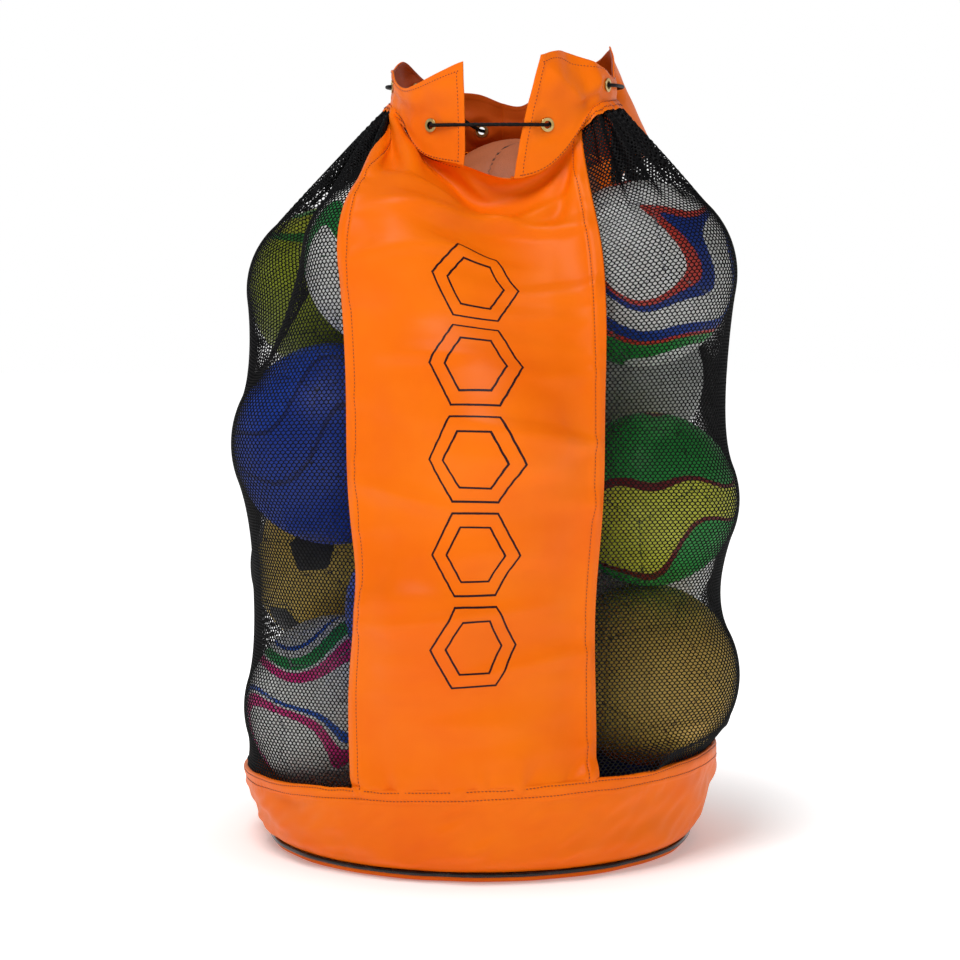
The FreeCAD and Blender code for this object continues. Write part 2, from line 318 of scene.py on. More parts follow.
def refined(points):
    """Twice as many rows and columns, on smooth curves through the given ones."""
    wide = np.zeros((points.shape[0], points.shape[1] * 2, 3))
    wide[:, ::2] = points
    wide[:, 1::2] = (9 * (points + np.roll(points, -1, 1)) - np.roll(points, 1, 1)
                     - np.roll(points, -2, 1)) / 16
    tall = np.zeros((2 * wide.shape[0] - 1, wide.shape[1], 3))
    tall[::2] = wide
    ends = np.concatenate([2 * wide[:1] - wide[1:2], wide, 2 * wide[-1:] - wide[-2:-1]])
    tall[1::2] = (9 * (ends[1:-2] + ends[2:-1]) - ends[:-3] - ends[3:]) / 16
    return tall


wall = drape(first_shape(160, 78), 120, 8, 0.92, 0.00012, noise=0.001)
wall = drape(refined(wall), 20, 8, 0.85, 0.00006)
ROWS, COLUMNS = wall.shape[0] - 1, wall.shape[1]
wall_padded = np.concatenate([2 * wall[:1] - wall[1:2], wall, 2 * wall[-1:] - wall[-2:-1]])


def cubic_weights(t):
    return (-0.5 * t + t * t - 0.5 * t ** 3, 1 - 2.5 * t * t + 1.5 * t ** 3,
            0.5 * t + 2 * t * t - 1.5 * t ** 3, -0.5 * t * t + 0.5 * t ** 3)


def wall_at(angle, share):
    """Point of the draped wall at an angle and a share of its height, smooth between its threads."""
    angle, share = np.broadcast_arrays(np.asarray(angle, float), np.asarray(share, float))
    i, j = (angle + 180) / 360 * COLUMNS, np.clip(share, 0, 1) * ROWS
    i0, j0 = np.floor(i).astype(int), np.clip(np.floor(j).astype(int), 0, ROWS - 1)
    across, up = cubic_weights(i - i0), cubic_weights(j - j0)
    point = np.zeros(angle.shape + (3,))
    for a in range(4):
        for b in range(4):
            point += (across[a] * up[b])[..., None] * wall_padded[np.clip(j0 + b, 0, ROWS + 2),
                                                                  (i0 + a - 1) % COLUMNS]
    return point


def wall_off(angle, share, lift):
    """Point lifted off the wall's outer face."""
    angle, share = np.broadcast_arrays(np.asarray(angle, float), np.asarray(share, float))
    across = wall_at(angle + 0.4, share) - wall_at(angle - 0.4, share)
    up = wall_at(angle, np.minimum(share + 0.003, 1)) - wall_at(angle, np.maximum(share - 0.003, 0))
    out = np.cross(across, up)
    out /= np.linalg.norm(out, axis=-1, keepdims=True) + 1e-12
    return wall_at(angle, share) + out * np.asarray(lift)[..., None]


# ---- meshes --------------------------------------------------------------------------------------
def mesh_object(name, points, faces, materials, cloth=None, groups=None, fields=None):
    """A mesh from arrays: faces of one size or a list of them, cloth coordinates in metres."""
    faces = faces if isinstance(faces, list) else [faces]
    faces = [np.asarray(f, np.int32) for f in faces]
    corners = np.concatenate([f.ravel() for f in faces])
    sizes = np.concatenate([np.full(len(f), f.shape[1]) for f in faces])
    mesh = bpy.data.meshes.new(name)
    points = np.asarray(points, np.float32).reshape(-1, 3)
    mesh.vertices.add(len(points))
    mesh.vertices.foreach_set("co", points.ravel())
    mesh.loops.add(len(corners))
    mesh.loops.foreach_set("vertex_index", corners)
    mesh.polygons.add(len(sizes))
    mesh.polygons.foreach_set("loop_start", np.concatenate([[0], np.cumsum(sizes)[:-1]]).astype(np.int32))
    if groups is not None:
        mesh.polygons.foreach_set("material_index", np.asarray(groups, np.int32))
    if cloth is not None:
        layer = mesh.uv_layers.new(name="cloth")
        layer.data.foreach_set("uv", np.asarray(cloth, np.float32).reshape(-1, 2)[corners].ravel())
    for field, values in (fields or {}).items():
        layer = mesh.attributes.new(field, "FLOAT", "POINT")
        layer.data.foreach_set("value", np.asarray(values, np.float32).ravel())
    mesh.update(calc_edges=True)
    mesh.polygons.foreach_set("use_smooth", np.ones(len(sizes), bool))
    for material in materials:
        mesh.materials.append(material)
    piece = bpy.data.objects.new(name, mesh)
    bpy.context.scene.collection.objects.link(piece)
    return piece


def grid_faces(rows, columns, wrap=False, first=0):
    i, j = np.meshgrid(np.arange(rows - 1), np.arange(columns if wrap else columns - 1), indexing="ij")
    right = (j + 1) % columns
    return (first + np.stack([i * columns + j, i * columns + right, (i + 1) * columns + right,
                              (i + 1) * columns + j], -1)).reshape(-1, 4)


def ride_as(piece, slot, *replaced, body="bag"):
    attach(piece, body)
    if replaced:
        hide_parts(*replaced)
    return piece


def unit(vectors):
    return vectors / (np.linalg.norm(vectors, axis=-1, keepdims=True) + 1e-15)


def evenly(path, step):
    """Points at equal steps along a path."""
    reach = np.concatenate([[0], np.cumsum(np.linalg.norm(np.diff(path, axis=0), axis=1))])
    count = max(2, int(round(reach[-1] / step)) + 1)
    at = np.linspace(0, reach[-1], count)
    return np.stack([np.interp(at, reach, path[:, k]) for k in range(3)], 1), at


def frames_along(path):
    """Along, side and up directions that don't twist, at each point of a path."""
    along = unit(np.gradient(path, axis=0))
    side = np.zeros_like(path)
    start = np.cross(along[0], [0, 0, 1.0])
    if np.linalg.norm(start) < 1e-3:
        start = np.cross(along[0], [1.0, 0, 0])
    side[0] = unit(start)
    for k in range(1, len(path)):
        flat = side[k - 1] - along[k] * (side[k - 1] @ along[k])
        side[k] = flat / np.linalg.norm(flat)
    return along, side, np.cross(along, side)


def tube_mesh(path, radius, sides, profile=None):
    """Points and faces of a closed tube; profile gives each point's radius from its ring and side."""
    along, side, up = frames_along(path)
    turn = np.linspace(0, 2 * math.pi, sides, endpoint=False)
    spread = np.full((len(path), sides), radius) if profile is None else profile
    ring = (side[:, None] * np.cos(turn)[None, :, None] + up[:, None] * np.sin(turn)[None, :, None])
    points = (path[:, None] + ring * spread[..., None]).reshape(-1, 3)
    points = np.concatenate([points, path[:1] - along[:1] * radius * 0.4,
                             path[-1:] + along[-1:] * radius * 0.4])
    last = len(path) * sides
    j = np.arange(sides)
    low = np.stack([(j + 1) % sides, j, np.full(sides, last)], 1)
    high = np.stack([last - sides + j, last - sides + (j + 1) % sides, np.full(sides, last + 1)], 1)
    return points, [grid_faces(len(path), sides, True), np.concatenate([low, high])]


def stitch_row(path, out, pitch=STITCH_PITCH, share=0.72, radius=0.00045, sink=0.0001):
    """Thread stitches along a path on a cloth: short bowed rods, sunk at their ends."""
    reach = np.concatenate([[0], np.cumsum(np.linalg.norm(np.diff(path, axis=0), axis=1))])
    count = max(1, int(reach[-1] / pitch))
    rings, sides = 5, 6
    t = np.linspace(0, 1, rings)
    at = (np.arange(count) + 0.5)[:, None] * pitch + (t[None] - 0.5) * pitch * share
    spine = np.stack([np.interp(at, reach, path[:, k]) for k in range(3)], -1)
    normal = unit(np.stack([np.interp(at, reach, out[:, k]) for k in range(3)], -1))
    spine = spine + normal * ((radius * 0.9 + sink) * (4 * t * (1 - t)) - sink)[None, :, None]
    along = unit(np.gradient(spine, axis=1))
    side = unit(np.cross(along, normal))
    turn = np.linspace(0, 2 * math.pi, sides, endpoint=False)
    thick = radius * np.sqrt(np.clip(1 - (2 * t - 1) ** 4, 0.02, 1))
    ring = side[:, :, None] * np.cos(turn)[None, None, :,
                                           None] + normal[:, :, None] * np.sin(turn)[None, None, :, None]
    points = spine[:, :, None] + ring * thick[None, :, None, None]
    faces = grid_faces(rings, sides, True)
    caps = np.array([list(range(sides))[::-1], list(range((rings - 1) * sides, rings * sides))])
    step = (np.arange(count) * rings * sides)[:, None, None]
    return points.reshape(-1, 3), (faces[None] + step).reshape(-1, 4), (caps[None] + step).reshape(-1, sides)


def sewn_rows(name, rows, material):
    """One piece of thread from several stitch rows, each a path with its outward directions."""
    points, quads, caps, first = [], [], [], 0
    for path, out in rows:
        p, q, c = stitch_row(path, out)
        points.append(p)
        quads.append(q + first)
        caps.append(c + first)
        first += len(p)
    return mesh_object(name, np.concatenate(points), [np.concatenate(quads), np.concatenate(caps)],
                       [material])


def stitches(name, rows, material, slot="orange_nylon"):
    return ride_as(sewn_rows(name, rows, material), slot)


# ---- materials -----------------------------------------------------------------------------------
def node(tree, kind, settings=None, **inputs):
    """A shader node; an input is a number, a colour or another node's output."""
    made = tree.nodes.new("ShaderNode" + kind)
    for key, value in (settings or {}).items():
        setattr(made, key, value)
    for key, value in inputs.items():
        socket = made.inputs[int(key[1:])] if key[1:].isdigit() else made.inputs[key.replace("_", " ")]
        if isinstance(value, bpy.types.NodeSocket):
            tree.links.new(value, socket)
        else:
            socket.default_value = value
    return made


def noise(tree, place, **inputs):
    return node(tree, "TexNoise", Vector=place, **inputs).outputs["Fac"]


def new_material(name):
    material = bpy.data.materials.new(name)
    material.use_nodes = True
    tree = material.node_tree
    return material, tree, tree.nodes["Principled BSDF"]


def connect(tree, shader, **inputs):
    for key, value in inputs.items():
        socket = shader.inputs[key.replace("_", " ")]
        if isinstance(value, bpy.types.NodeSocket):
            tree.links.new(value, socket)
        else:
            socket.default_value = value


def colour(r, g, b):
    return (r, g, b, 1.0)


def ramp(tree, factor, *stops, crisp=False):
    """Colour ramp from (position, colour) stops."""
    made = node(tree, "ValToRGB", i0=factor)
    made.color_ramp.interpolation = "CONSTANT" if crisp else "LINEAR"
    while len(made.color_ramp.elements) < len(stops):
        made.color_ramp.elements.new(0.5)
    for element, (position, tint) in zip(made.color_ramp.elements, stops):
        element.position, element.color = position, tint
    return made.outputs["Color"]


def weave_height(tree, where, pitch):
    """Height of a plain weave: two crossing waves."""
    scale = 2 * math.pi / 20 / pitch
    warp = node(tree, "TexWave", {"bands_direction": "X"}, Vector=where, Scale=scale, Distortion=0.0)
    weft = node(tree, "TexWave", {"bands_direction": "Y"}, Vector=where, Scale=scale, Distortion=0.0)
    return node(tree, "Math", {"operation": "MULTIPLY"}, i0=warp.outputs["Fac"],
                i1=weft.outputs["Fac"]).outputs[0]


def nylon(name, bright, deep, roughness=0.42, weave=0.0007):
    """Coated woven nylon: fine weave, soft creases and a satin sheen."""
    material, tree, shader = new_material(name)
    cloth = node(tree, "UVMap", {"uv_map": "cloth"}).outputs[0]
    place = node(tree, "TexCoord").outputs["Object"]
    broad = noise(tree, place, Scale=9.0, Detail=3.0, Roughness=0.55)
    fine = noise(tree, place, Scale=900.0, Detail=2.0)
    tint = ramp(tree, broad, (0.30, deep), (0.72, bright))
    height = weave_height(tree, cloth, weave)
    crease = noise(tree, place, Scale=55.0, Detail=3.0, Roughness=0.5)
    soft = node(tree, "Bump", Strength=0.10, Distance=0.002, Height=crease).outputs[0]
    bump = node(tree, "Bump", Strength=0.30, Distance=0.00012, Height=height, Normal=soft).outputs[0]
    rough = node(tree, "MapRange", Value=fine, i3=roughness - 0.05, i4=roughness + 0.09).outputs[0]
    connect(tree, shader, Base_Color=tint, Roughness=rough, Normal=bump, Specular_IOR_Level=0.10,
            Coat_Weight=0.03, Coat_Roughness=0.3)
    return material


def knit(name, dark, light, roughness=0.55):
    """Knitted polyester strands."""
    material, tree, shader = new_material(name)
    cloth = node(tree, "UVMap", {"uv_map": "cloth"}).outputs[0]
    place = node(tree, "TexCoord").outputs["Object"]
    lint = noise(tree, place, Scale=420.0, Detail=3.0)
    strand = node(tree, "TexWave", {"bands_direction": "DIAGONAL"}, Vector=cloth, Scale=620.0,
                  Distortion=1.5).outputs["Fac"]
    bump = node(tree, "Bump", Strength=0.35, Distance=0.00015, Height=strand).outputs[0]
    connect(tree, shader, Base_Color=ramp(tree, lint, (0.35, dark), (0.75, light)), Roughness=roughness,
            Normal=bump, Specular_IOR_Level=0.10)
    return material


def thread(name, dark, light):
    material, tree, shader = new_material(name)
    place = node(tree, "TexCoord").outputs["Object"]
    twist = node(tree, "TexWave", {"bands_direction": "DIAGONAL"}, Vector=place, Scale=900.0,
                 Distortion=2.0).outputs["Fac"]
    bump = node(tree, "Bump", Strength=0.4, Distance=0.00008, Height=twist).outputs[0]
    # The colour follows the twist's relief: painted shade in its grooves, lighter ridges.
    connect(tree, shader, Base_Color=ramp(tree, twist, (0.2, dark), (0.8, light)), Roughness=0.5, Normal=bump)
    return material


def moulded(name, dark, light, roughness):
    """Moulded plastic with a faint grain and worn, lighter high spots."""
    material, tree, shader = new_material(name)
    place = node(tree, "TexCoord").outputs["Object"]
    grain = noise(tree, place, Scale=1400.0, Detail=2.0)
    wear = noise(tree, place, Scale=90.0, Detail=4.0)
    bump = node(tree, "Bump", Strength=0.12, Distance=0.0001, Height=grain).outputs[0]
    rough = node(tree, "MapRange", Value=wear, i3=roughness - 0.08, i4=roughness + 0.12).outputs[0]
    connect(tree, shader, Base_Color=ramp(tree, wear, (0.4, dark), (0.8, light)), Roughness=rough,
            Normal=bump)
    return material


def metal(name, dark, light, roughness):
    """Plated metal with fine turning marks and a little tarnish."""
    material, tree, shader = new_material(name)
    place = node(tree, "TexCoord").outputs["Object"]
    tarnish = noise(tree, place, Scale=240.0, Detail=4.0)
    marks = noise(tree, place, Scale=2600.0, Detail=2.0)
    bump = node(tree, "Bump", Strength=0.1, Distance=0.00005, Height=marks).outputs[0]
    rough = node(tree, "MapRange", Value=tarnish, i3=roughness, i4=roughness + 0.18).outputs[0]
    connect(tree, shader, Base_Color=ramp(tree, tarnish, (0.35, dark), (0.7, light)), Metallic=1.0,
            Roughness=rough, Normal=bump)
    return material


def glossy_piping():
    material, tree, shader = new_material("piping_vinyl")
    place = node(tree, "TexCoord").outputs["Object"]
    scuff = noise(tree, place, Scale=70.0, Detail=4.0)
    bump = node(tree, "Bump", Strength=0.15, Distance=0.0004, Height=scuff).outputs[0]
    rough = node(tree, "MapRange", Value=scuff, i3=0.16, i4=0.34).outputs[0]
    connect(tree, shader, Base_Color=ramp(tree, scuff, (0.4, colour(.006, .006, .007)),
                                          (0.8, colour(.02, .02, .022))),
            Roughness=rough, Normal=bump, Specular_IOR_Level=0.30, Coat_Weight=0.10, Coat_Roughness=0.1)
    return material


def printed_ink():
    material, tree, shader = new_material("printed_ink")
    place = node(tree, "TexCoord").outputs["Object"]
    patchy = noise(tree, place, Scale=160.0, Detail=3.0)
    connect(tree, shader, Roughness=0.5, Specular_IOR_Level=0.15,
            Base_Color=ramp(tree, patchy, (0.3, colour(.010, .002, .004)), (0.8, colour(.030, .006, .006))))
    return material


ORANGE = nylon("orange_nylon", colour(.82, .158, .001), colour(.77, .122, .0008))
# Inner face of the collar: the coated back of the cloth, and darker still with painted shade.
ORANGE_BACKSIDE_AND_SHADE = nylon("orange_nylon_backside_and_shade", colour(.50, .072, .003), colour(.42, .052, .002), 0.5)
NET = knit("mesh_knit", colour(.0008, .0008, .001), colour(.004, .004, .005))
CORD = knit("cord_braid", colour(.002, .002, .0025), colour(.010, .010, .011), 0.5)
WEBBING = knit("webbing_weave", colour(.006, .006, .007), colour(.022, .022, .024), 0.6)
# Seam thread: dark reddish orange, partly the thread's own colour, partly painted shade along the stitch
# rows.
THREAD = thread("seam_thread_and_painted_shade", colour(.13, .010, .001), colour(.22, .018, .001))
DARK_THREAD = thread("bar_thread", colour(.010, .010, .012), colour(.045, .045, .050))
PIPING = glossy_piping()
INK = printed_ink()
BRASS = metal("brass", colour(.42, .28, .09), colour(.66, .50, .22), 0.22)
STEEL = metal("spring_steel", colour(.35, .35, .36), colour(.60, .60, .62), 0.25)
PLASTIC = moulded("black_plastic", colour(.008, .008, .009), colour(.030, .030, .032), 0.42)


# ---- mesh sides: a net of staggered six-sided holes ----------------------------------------------
CELL_WIDE, CELL_TALL = 0.0058, 0.0034
HOLE_SHARE = 0.71
GATHER_FROM = 0.84        # above this share of the wall the holes close up in the gathers
CELL_CORNERS = np.array([(0, .0025), (.0029, .0009), (.0029, -.0009), (0, -.0025), (-.0029, -.0009),
                         (-.0029, .0009)])


def net_part(name, edges, low, high):
    """Cells of the net between two rows, from under one panel's edge to under the other's."""
    wide = CELL_WIDE / NET_WIDE * (edges[1] - edges[0])
    tall = CELL_TALL / SIDE_TALL * (1 - HEM_SHARE)
    tuck, far_tuck = 1.5, (4.6 if edges[1] == FRONT_EDGES[0] else 1.5)
    count = int((edges[1] - edges[0] + tuck + far_tuck) / wide)
    rows, columns = high - low + 2, count + 2
    j, i = np.meshgrid(np.arange(low - 1, high + 1), np.arange(-1, count + 1), indexing="ij")
    across = edges[0] - tuck + (i + 0.5 * (j % 2)) * wide
    up = HEM_SHARE - 0.006 + j * tall

    gathered = 1 - 0.50 * smooth_step(up, GATHER_FROM, 0.985)

    def at(corner, share, lift):
        dx, dy = corner[:, None, None] * (share if share == 1 else share * gathered)
        return wall_off(across + dx / CELL_WIDE * wide, up + dy / CELL_TALL * tall, np.full(i.shape, lift))

    tops, bottoms = at(CELL_CORNERS[0], 1, 0.00085), at(CELL_CORNERS[3], 1, 0.00085)
    holes = np.stack([at(c, HOLE_SHARE, -0.00030) for c in CELL_CORNERS], 2)
    number = np.arange(rows * columns).reshape(rows, columns)
    size = rows * columns
    inner = number[1:-1, 1:-1]
    odd = (j % 2)[1:-1, 1:-1]
    up_left = inner + columns - 1 + odd
    down_left = inner - columns - 1 + odd
    outer = [inner, up_left + 1 + size, down_left + 1, inner + size, down_left, up_left + size]
    faces = []
    for k in range(6):
        n = (k + 1) % 6
        faces.append(np.stack([outer[k], 2 * size + inner * 6 + k, 2 * size + inner * 6 + n, outer[n]],
                              -1).reshape(-1, 4))
    points = np.concatenate([tops.reshape(-1, 3), bottoms.reshape(-1, 3), holes.reshape(-1, 3)])
    grid = np.stack([across / wide * CELL_WIDE, up / tall * CELL_TALL], -1)
    flat = np.concatenate([(grid + CELL_CORNERS[0]).reshape(-1, 2), (grid + CELL_CORNERS[3]).reshape(-1, 2),
                           (grid[:, :, None] + CELL_CORNERS * HOLE_SHARE
                            * gathered[:, :, None, None]).reshape(-1, 2)])
    faces = np.concatenate(faces)
    used, index = np.unique(faces, return_inverse=True)
    piece = mesh_object(name, points[used], index.reshape(faces.shape), [NET], cloth=flat[used])
    return piece


def net_sides():
    rows = int((1 - HEM_SHARE + 0.006) / (CELL_TALL / SIDE_TALL * (1 - HEM_SHARE)))
    half = rows // 2
    for side, edges in (("left", (BACK_EDGES[1] - 360, FRONT_EDGES[0])),
                        ("right", (FRONT_EDGES[1], BACK_EDGES[0]))):
        ride_as(net_part(side + "_net_lower", edges, 0, half), "black_mesh", side + "_mesh")
        ride_as(net_part(side + "_net_upper", edges, half, rows), "black_mesh")


# ---- front and back panels -----------------------------------------------------------------------
FRONT_SEED, BACK_SEED = 11, 12       # the two panels crease differently
STRAP_ASIDE = 0.008       # the strap, off the back panel's middle; it presses the panel flat
DEEPEST_DIP = 0.0026      # the cloth hardly dips, as the balls stand close behind it
SEAM_ALLOWANCE = 0.0165
SEAM_STITCH = 0.0135
EDGE_LIFTS = [(0, .0003), (.0007, .0017), (.0025, .0022), (.0120, .0022), (SEAM_STITCH, .0016),
              (.0150, .0022),
              (SEAM_ALLOWANCE, .0021), (.0185, .0014), (.0600, .0014)]
# Folds: both ends, across and up the panel; height; width
FOLDS = [((-.13, .600), (.13, .688), .0085, .011), ((-.02, .668), (.15, .625), .0060, .010),
         ((-.15, .545), (.03, .610), .0050, .011), ((-.13, .180), (.12, .205), .0058, .010),
         ((-.06, .115), (.14, .150), .0052, .010), ((-.15, .335), (.00, .300), .0048, .010),
         ((-.02, .395), (.14, .375), .0044, .010), ((-.14, .455), (.04, .470), .0040, .010)]


def wrinkles(s, t, seed):
    """How far the panel's cloth stands off its smooth shape."""
    puff = 0.0028 * soft_noise(s, t, seed, 0.115, stretch=(2.2, 0.60))
    puff += 0.0013 * soft_noise(s, t, seed + 1, 0.085, stretch=(3.5, 0.42))
    beside = np.exp(-((np.abs(s) - PANEL_WIDE / 2 + SEAM_STITCH) / 0.010) ** 2)
    puff += 0.0007 * beside * soft_noise(s, t, seed + 2, 0.020, stretch=(3.0, 1.0))
    for (s0, t0), (s1, t1), height, wide in FOLDS:
        run = np.array([s1 - s0, t1 - t0])
        length = np.hypot(*run)
        share = ((s - s0) * run[0] + (t - t0) * run[1]) / length ** 2
        off = ((t - t0) * run[0] - (s - s0) * run[1]) / length
        puff = puff + height * np.exp(-(off / wide) ** 2) * np.exp(-((share - 0.5) / 0.42) ** 4)
    shallow = smooth_step(PANEL_WIDE / 2 - np.abs(s), 0.012, 0.050)
    puff = np.where(puff < 0, -DEEPEST_DIP * np.tanh(-puff / DEEPEST_DIP) * shallow, puff)
    return puff * smooth_step(t, 0.0, 0.05) * (1 - smooth_step(t, SIDE_TALL - 0.080, SIDE_TALL - 0.020))


def panel_point(edges, s, t, lift, seed):
    """Point of a panel, s across from its middle and t up from the band's hem."""
    s, t = np.broadcast_arrays(np.asarray(s, float), np.asarray(t, float))
    angle = (edges[0] + edges[1]) / 2 + s / PANEL_WIDE * (edges[1] - edges[0])
    if edges == FRONT_EDGES:
        angle = angle + 3.4 * np.exp(-((t - 0.21) / 0.075) ** 2) * smooth_step(-s, -0.05, PANEL_WIDE / 2)
    profile = curve_through(PANEL_WIDE / 2 - np.abs(s), *np.array(EDGE_LIFTS).T)
    inner = smooth_step(PANEL_WIDE / 2 - np.abs(s), 0.0, 0.012)
    stand = profile + wrinkles(s, t, seed) * inner + 0.002 * inner
    if edges == BACK_EDGES:
        under = np.exp(-((s + STRAP_ASIDE) / 0.034) ** 4) * smooth_step(t, 0.01, 0.06)
        stand = stand * (1 - under) + 0.0005 * under
    stand = stand + lift
    return wall_off(angle, HEM_SHARE + t / SIDE_TALL * (1 - HEM_SHARE), stand)


def panel(name, edges, seed, node_name):
    edge = [0, .0004, .0008, .0015, .003, .006, .009, .0112, .0124, .0135, .0146, .0158, .0170, .0185, .021,
            .024]
    middle = np.arange(-PANEL_WIDE / 2 + .027, PANEL_WIDE / 2 - .0255, 0.003)
    s = np.concatenate([-PANEL_WIDE / 2 + np.array(edge), middle, (PANEL_WIDE / 2 - np.array(edge))[::-1]])
    t = np.arange(-0.004, SIDE_TALL + 0.001, 0.003)
    t[-1] = SIDE_TALL
    sheet_s, sheet_t = np.meshgrid(s, t)
    points = panel_point(edges, sheet_s, sheet_t, 0.0, seed)
    piece = mesh_object(name, points, grid_faces(len(t), len(s)), [ORANGE],
                        cloth=np.stack([sheet_s, sheet_t], -1))
    ride_as(piece, "orange_nylon", node_name)
    rows = []
    for side in (-1, 1):
        along = np.arange(0.002, SIDE_TALL - 0.008, 0.002)
        across = np.full(along.shape, side * (PANEL_WIDE / 2 - SEAM_STITCH))
        low, high = (panel_point(edges, across, along, lift, seed) for lift in (0.0, 0.001))
        rows.append((low, unit(high - low)))
    stitches(name + "_stitches", rows, THREAD)


def outline(corners, width):
    """Two sides of a closed ribbon along corners, each run cut into short steps."""
    corners = np.array(corners, float)
    centre = corners.mean(0)
    sides = []
    for grow in (-0.5, 0.5):
        ahead, back = np.roll(corners, -1, 0) - corners, corners - np.roll(corners, 1, 0)
        normals = [unit(np.stack([e[:, 1], -e[:, 0]], 1)) for e in (ahead, back)]
        both = normals[0] + normals[1]
        moved = corners + both * (width * grow / (1 + (normals[0] * normals[1]).sum(1)))[:, None]
        sides.append(moved)
    steps = [max(2, int(np.hypot(*(corners[(k + 1) % len(corners)]
                                   - corners[k])) / 0.0025)) for k in range(len(corners))]
    lines = []
    for side in sides:
        line = [side[k] + (side[(k + 1) % len(side)] - side[k]) * q / n for k,
                n in enumerate(steps) for q in range(n)]
        lines.append(np.array(line))
    return lines


def printed_motif():
    """A plain stack of double hexagon outlines printed up the front panel."""
    points, faces, first = [], [], 0
    for place in range(5):
        middle = np.array([0.004, 0.160 + 0.098 * place])
        for size in (1.0, 0.66):
            wide, tall = 0.047 * size, 0.043 * size
            corners = [middle + c for c in ((-wide, 0), (-wide * 0.5, tall), (wide * 0.5, tall), (wide, 0),
                                            (wide * 0.5, -tall), (-wide * 0.5, -tall))]
            inner, outer = outline(corners, 0.0021)
            both = np.concatenate([inner, outer])
            n = len(inner)
            k = np.arange(n)
            points.append(panel_point(FRONT_EDGES, both[:, 0], both[:, 1], 0.00022, FRONT_SEED))
            faces.append(first + np.stack([k, (k + 1) % n, n + (k + 1) % n, n + k], 1))
            first += 2 * n
    piece = mesh_object("printed_motif", np.concatenate(points), np.concatenate(faces), [INK])
    ride_as(piece, "orange_nylon")


# ---- band round the bottom, base panel and piping ------------------------------------------------
BAND_HEM = 0.006          # how far the band's hem stands above the line where it is sewn
HEM_ROWS = (0.0035, 0.0125)      # stitch rows below the hem's edge


def band_point(angle, t, lift):
    angle, t = np.broadcast_arrays(np.asarray(angle, float), np.asarray(t, float))
    around = np.radians(angle) * 0.26
    puff = 0.0030 * soft_noise(around + 0.7 * t, t, 21, 0.090, stretch=(1.5, 0.8), count=9)
    puff += 0.0009 * soft_noise(around - 0.5 * t, t, 22, 0.035)
    puff = puff * smooth_step(t, 0.0, 0.022) * (1 - smooth_step(t, BAND_TALL - 0.022, BAND_TALL - 0.002))
    below = BAND_TALL + BAND_HEM - t
    hem = 0.0011 * (1 - smooth_step(below, 0.0150, 0.0175))
    for row in HEM_ROWS:
        hem = hem - 0.0005 * np.exp(-((below - row) / 0.0011) ** 2)
    rim = -0.0042 * (1 - smooth_step(below, 0.0, 0.0013))
    stand = -0.0012 + 0.0046 * smooth_step(t, 0.001, 0.030)
    stand = stand + puff + hem + rim + lift
    turns = (-4, -2, 0, 2, 4)
    return sum(wall_off(angle + turn, t / WALL_TALL, stand) for turn in turns) / len(turns)


def band():
    top = BAND_TALL + BAND_HEM
    t = np.concatenate([np.arange(0.0005, top - 0.020, 0.0028), top - np.array(
        [.0185, .017, .0155, .014, .0132, .0125, .0118, .011, .009, .0065, .005, .0042, .0035, .0028, .002,
         .001, .0005, 0])])
    angle = np.linspace(-180, 180, 640, endpoint=False)
    across, up = np.meshgrid(angle, t)
    points = band_point(across, up, 0.0)
    piece = mesh_object("band_cloth", points, grid_faces(len(t), len(angle), True), [ORANGE],
                        cloth=np.stack([np.radians(across) * BAND_ROUND / (2 * math.pi), up], -1))
    ride_as(piece, "orange_nylon", "base_band")
    around = np.linspace(-180, 180, 900)
    rows = []
    for below in HEM_ROWS:
        low, high = (band_point(around, top - below, lift) for lift in (0.0, 0.001))
        rows.append((low, unit(high - low)))
    stitches("band_stitches", rows, THREAD)


def turned_ring(name, profile, columns, ripple, material):
    """A closed ring turned from (radius, height) points, its radius and height rippled round the bag."""
    angle = np.linspace(-180, 180, columns, endpoint=False)
    profile = np.array(profile)
    wave = ripple * soft_noise(np.cos(np.radians(angle)), np.sin(np.radians(angle)), 31, 0.35)
    radius = profile[:, 0][:, None] + wave[None] * (profile[:, 0] > 0.2)[:, None]
    height = np.repeat(profile[:, 1][:, None], columns, 1)
    points = ring_of(angle[None] + 0 * radius, radius, height)
    flat = np.stack([points[..., 0], points[..., 1]], -1)
    rows = len(profile)
    k = np.arange(columns)
    n = (k + 1) % columns
    last = (rows - 1) * columns
    faces = np.concatenate([grid_faces(rows, columns, True), np.stack([last + k, last + n, n, k], 1)])
    return mesh_object(name, points, faces, [material], cloth=flat)


def base():
    low, high = (np.array(c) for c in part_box("base_panel"))
    radius, rim = float(high[0]), float(high[2])
    seam = [(radius * q, 0.0012) for q in (0.02, 0.2, 0.4, 0.6, 0.8, 0.93)]
    seam += [(radius - 0.008, 0.0006), (radius - 0.004, 0.0010), (radius - 0.0012, 0.0024),
             (radius + 0.0006, 0.0042),
             (radius + 0.0008, 0.0058), (radius, rim + 0.0008), (radius - 0.002, rim + 0.0016)]
    seam += [(radius - 0.010, rim), (radius - 0.014, 0.0045)] + [(radius * q,
                                                                  0.0034) for q in (0.8, 0.5, 0.2, 0.02)]
    piece = turned_ring("base_cloth", seam, 720, 0.0007, ORANGE)
    ride_as(piece, "orange_nylon", "base_panel")
    middle, span = span_of("base_piping")
    thick = float(span[2]) / 2
    ring = float(span[0]) / 2 - thick
    turn = np.linspace(0, 2 * math.pi, 14, endpoint=False)
    profile = [(ring + thick * math.cos(a), float(middle[2]) + thick * math.sin(a)) for a in turn]
    cord = turned_ring("piping_cord", profile, 720, 0.0006, PIPING)
    ride_as(cord, "black_piping", "base_piping")


# ---- collar --------------------------------------------------------------------------------------
COLLAR_LEVELS = [0, 0.36, 0.68, 1]


